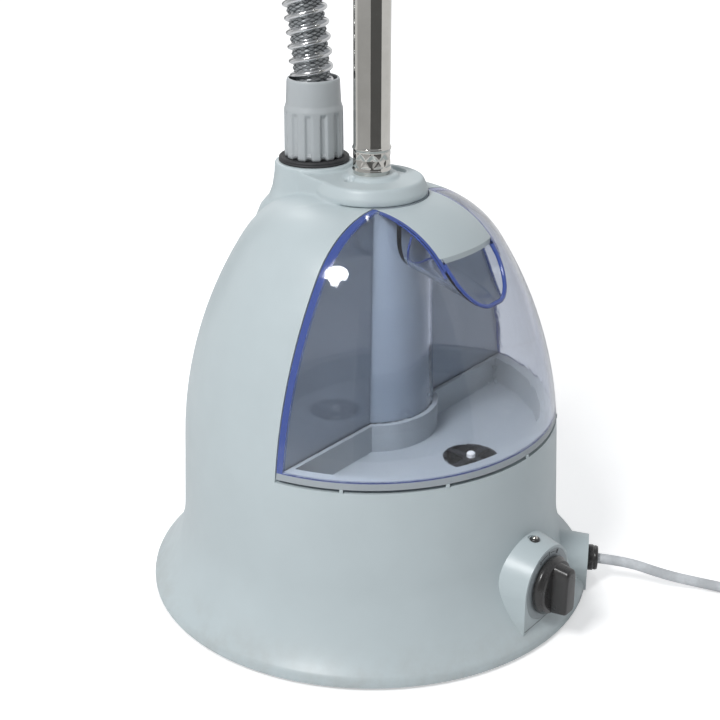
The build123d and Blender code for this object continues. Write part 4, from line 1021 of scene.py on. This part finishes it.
def flatShape(name, outline, place, angle, finish, thick=0.00025):
    # a thin raised print on the dial's face
    count = len(outline)
    points = [(x, y, 0) for x, y in outline] + [(x, y, thick) for x, y in outline]
    faces = [tuple(range(count - 1, -1, -1)), tuple(range(count, 2 * count))]
    faces += [(n, (n + 1) % count, (n + 1) % count + count, n + count) for n in range(count)]
    mark = addMesh(name, points, faces, finish, False)
    mark.data.transform(onDial(place) @ Matrix.Rotation(angle, 4, "Z"))
    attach(mark, "base")
    return mark


def makeDial():
    ring = [(0.0010 * math.cos(a / 12 * math.pi), 0.0016 * math.sin(a / 12 * math.pi)) for a in range(24)]
    bar = [(-0.00026, -0.0016), (0.00026, -0.0016), (0.00026, 0.0016), (-0.00026, 0.0016)]
    spots = {"offMark": -dialSet["spread"], "lowMark": 0.0, "highMark": dialSet["spread"]}
    radius, height = dialSet["radius"], knobSet["centre"][2]
    for name, degreesRight in spots.items():
        angle = math.radians(degreesRight)
        place = (radius * math.sin(angle), height + radius * math.cos(angle))
        if name == "offMark":
            hole = [(x * 0.55, y * 0.68) for x, y in ring]
            count = len(ring)
            points = [(x, y, 0.0002) for x, y in ring + hole]
            faces = [(n, (n + 1) % count, (n + 1) % count + count, n + count) for n in range(count)]
            mark = addMesh(name, points, faces, "mark", False)
            mark.data.transform(onDial(place) @ Matrix.Rotation(-angle, 4, "Z"))
            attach(mark, "base")
        elif name == "lowMark":
            flatShape(name, bar, place, -angle, "mark")
        else:
            flatShape(name + "Left", [(x - 0.0007, y) for x, y in bar], place, -angle, "mark")
            flatShape(name + "Right", [(x + 0.0007, y) for x, y in bar], place, -angle, "mark")
    for n, (start, end) in enumerate([(-22, -5), (5, 21)]):
        arc = [math.radians(start + (end - start) * k / 10) for k in range(11)]
        outer = [(0.02385 * math.sin(a), 0.02385 * math.cos(a)) for a in arc]
        inner = [(0.02350 * math.sin(a), 0.02350 * math.cos(a)) for a in reversed(arc)]
        flatShape(f"dialArc{n}", outer + inner, (0, height), 0, "mark")
    seam = [(-0.0268, -0.0002), (0.0268, -0.0002), (0.0268, 0.0002), (-0.0268, 0.0002)]
    flatShape("podSeam", seam, (0, 0.0150), 0, "mark", 0.00012)


def makeLamp():
    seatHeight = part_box("indicator_lamp")[1][2] - 0.0028
    ring = turn("lampRing", rounded([(0.0022, -0.004), (0.0036, -0.0002), (0.0036, 0.0006), (0.0030, 0.0012),
                                     (0.0023, 0.0012)], 0.0003), "knob", 64, (0, -0.143, seatHeight))
    bends = [a / 16 * math.pi for a in range(9)]
    dome = [(0.0023 * math.cos(a), 0.0006 + 0.0021 * math.sin(a)) for a in bends]
    lamp = turn("lampDome", [(0.0023, -0.003)] + dome, "chrome", 64, (0, -0.143, seatHeight))
    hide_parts("indicator_lamp")
    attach(lamp, "base")
    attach(ring, "base")


glandSet = {"face": 0.163, "direction": -61, "height": 0.020}


def makeGland():
    angle = math.radians(glandSet["direction"])
    along = Vector((math.cos(angle), math.sin(angle), 0))
    rig = along.to_track_quat("Z", "Y").to_matrix().to_4x4()
    centre = along * glandSet["face"] + Vector((0, 0, glandSet["height"]))
    profile = rounded([(0.0040, -0.006), (0.0064, -0.006), (0.0064, 0.0), (0.0092, 0.0), (0.0095, 0.0008),
                       (0.0095, 0.0036), (0.0088, 0.0042), (0.0088, 0.0048), (0.0091, 0.0054),
                       (0.0084, 0.0072), (0.0062, 0.0075), (0.0039, 0.0072)], 0.0006)
    gland = turn("glandNut", profile, "knob", 72, centre, rig)
    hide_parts("cable_gland")
    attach(gland, "base")


makeKnob()
makeDial()
makeLamp()
makeGland()
print("knob, dial, lamp and gland made")

# blue lip round the finger pocket's mouth, in the tank-rim finish with its faint painted glow

mouthSet = {
    "back": (0.047, 0.252), "front": (0.104, 0.2355), "half": 0.0275, "round": 0.022,
    "lip": 0.0015, "backTop": 0.026, "backLip": 0.0008,
}


def makeMouthLip():
    (backY, backZ), (frontY, frontZ) = mouthSet["back"], mouthSet["front"]
    slope = math.atan2(backZ - frontZ, frontY - backY)
    run = Vector((0, -math.cos(slope), -math.sin(slope)))
    rise = Vector((0, -math.sin(slope), math.cos(slope)))
    start = Vector((0, -backY, backZ))
    half, bend = mouthSet["half"], mouthSet["round"]
    outline = [(-half, bend + 0.03 - 0.002 * n) for n in range(15)]
    outline += [(-half + bend - bend * math.cos(a), bend - bend * math.sin(a))
                for a in [math.pi / 2 * n / 16 for n in range(17)]]
    outline += [(-x, h) for x, h in reversed(outline)]
    line = []
    for x, h in outline:
        low, high = 0.0, 0.12
        for _ in range(40):
            middle = (low + high) / 2
            spot = start + run * middle + rise * h + Vector((x, 0, 0))
            inside = spot.z < domeHeight(math.hypot(spot.x, spot.y))
            low, high = (middle, high) if inside else (low, middle)
        spot = start + run * low + rise * h + Vector((x, 0, 0))
        if spot.y < -0.0805:
            line.append(spot)
    curve = bpy.data.curves.new("mouthLip", "CURVE")
    curve.dimensions = "3D"
    spline = curve.splines.new("POLY")
    spline.points.add(len(line) - 1)
    for knot, spot in zip(spline.points, line):
        inward = Vector((spot.x, spot.y, 0)).normalized() * 0.0009
        knot.co = (*(spot - inward - Vector((0, 0, 0.0006))), 1)
    curve.bevel_depth = mouthSet["lip"]
    curve.bevel_resolution = 4
    curve.use_fill_caps = True
    curve.materials.append(finishes["tankRim"])
    lip = bpy.data.objects.new("mouthLip", curve)
    bpy.context.collection.objects.link(lip)
    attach(lip, "tank")
    back = bpy.data.curves.new("pocketBackEdge", "CURVE")
    back.dimensions = "3D"
    corner = back.splines.new("POLY")
    inner = [(x, h) for x, h in outline if h < mouthSet["backTop"]]
    corner.points.add(len(inner) - 1)
    for knot, (x, h) in zip(corner.points, inner):
        knot.co = (*(start + run * 0.0006 + rise * h * 0.98 + Vector((x * 0.98, 0, 0.0006))), 1)
    back.bevel_depth = mouthSet["backLip"]
    back.bevel_resolution = 3
    back.use_fill_caps = True
    back.materials.append(finishes["tankRim"])
    edge = bpy.data.objects.new("pocketBackEdge", back)
    bpy.context.collection.objects.link(edge)
    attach(edge, "tank")


makeMouthLip()
print("mouth lip made")

# edges of the remaining CAD pieces

edgeSet = {
    "head_shell_front": 0.0012, "head_shell_rear": 0.0012, "sole_plate": 0.0008, "hose_cuff": 0.0006,
    "clamp_collar": 0.0006, "clamp_lever": 0.0008, "hanger_bracket": 0.0008, "hanger_arm_left": 0.0010,
    "hanger_arm_right": 0.0010, "head_cradle": 0.0010, "mains_plug": 0.0016,
}


def softenEdges(node, width):
    obj = cadNode[node]
    weld = obj.modifiers.new("weld", "WELD")
    weld.merge_threshold = 0.00001
    bevel = obj.modifiers.new("bevel", "BEVEL")
    bevel.width = width
    bevel.segments = 2
    bevel.limit_method = "ANGLE"
    bevel.angle_limit = math.radians(40)
    bevel.harden_normals = False
    normals = obj.modifiers.new("normals", "WEIGHTED_NORMAL")
    normals.keep_sharp = False


for node, width in edgeSet.items():
    softenEdges(node, width)
print("edges softened")
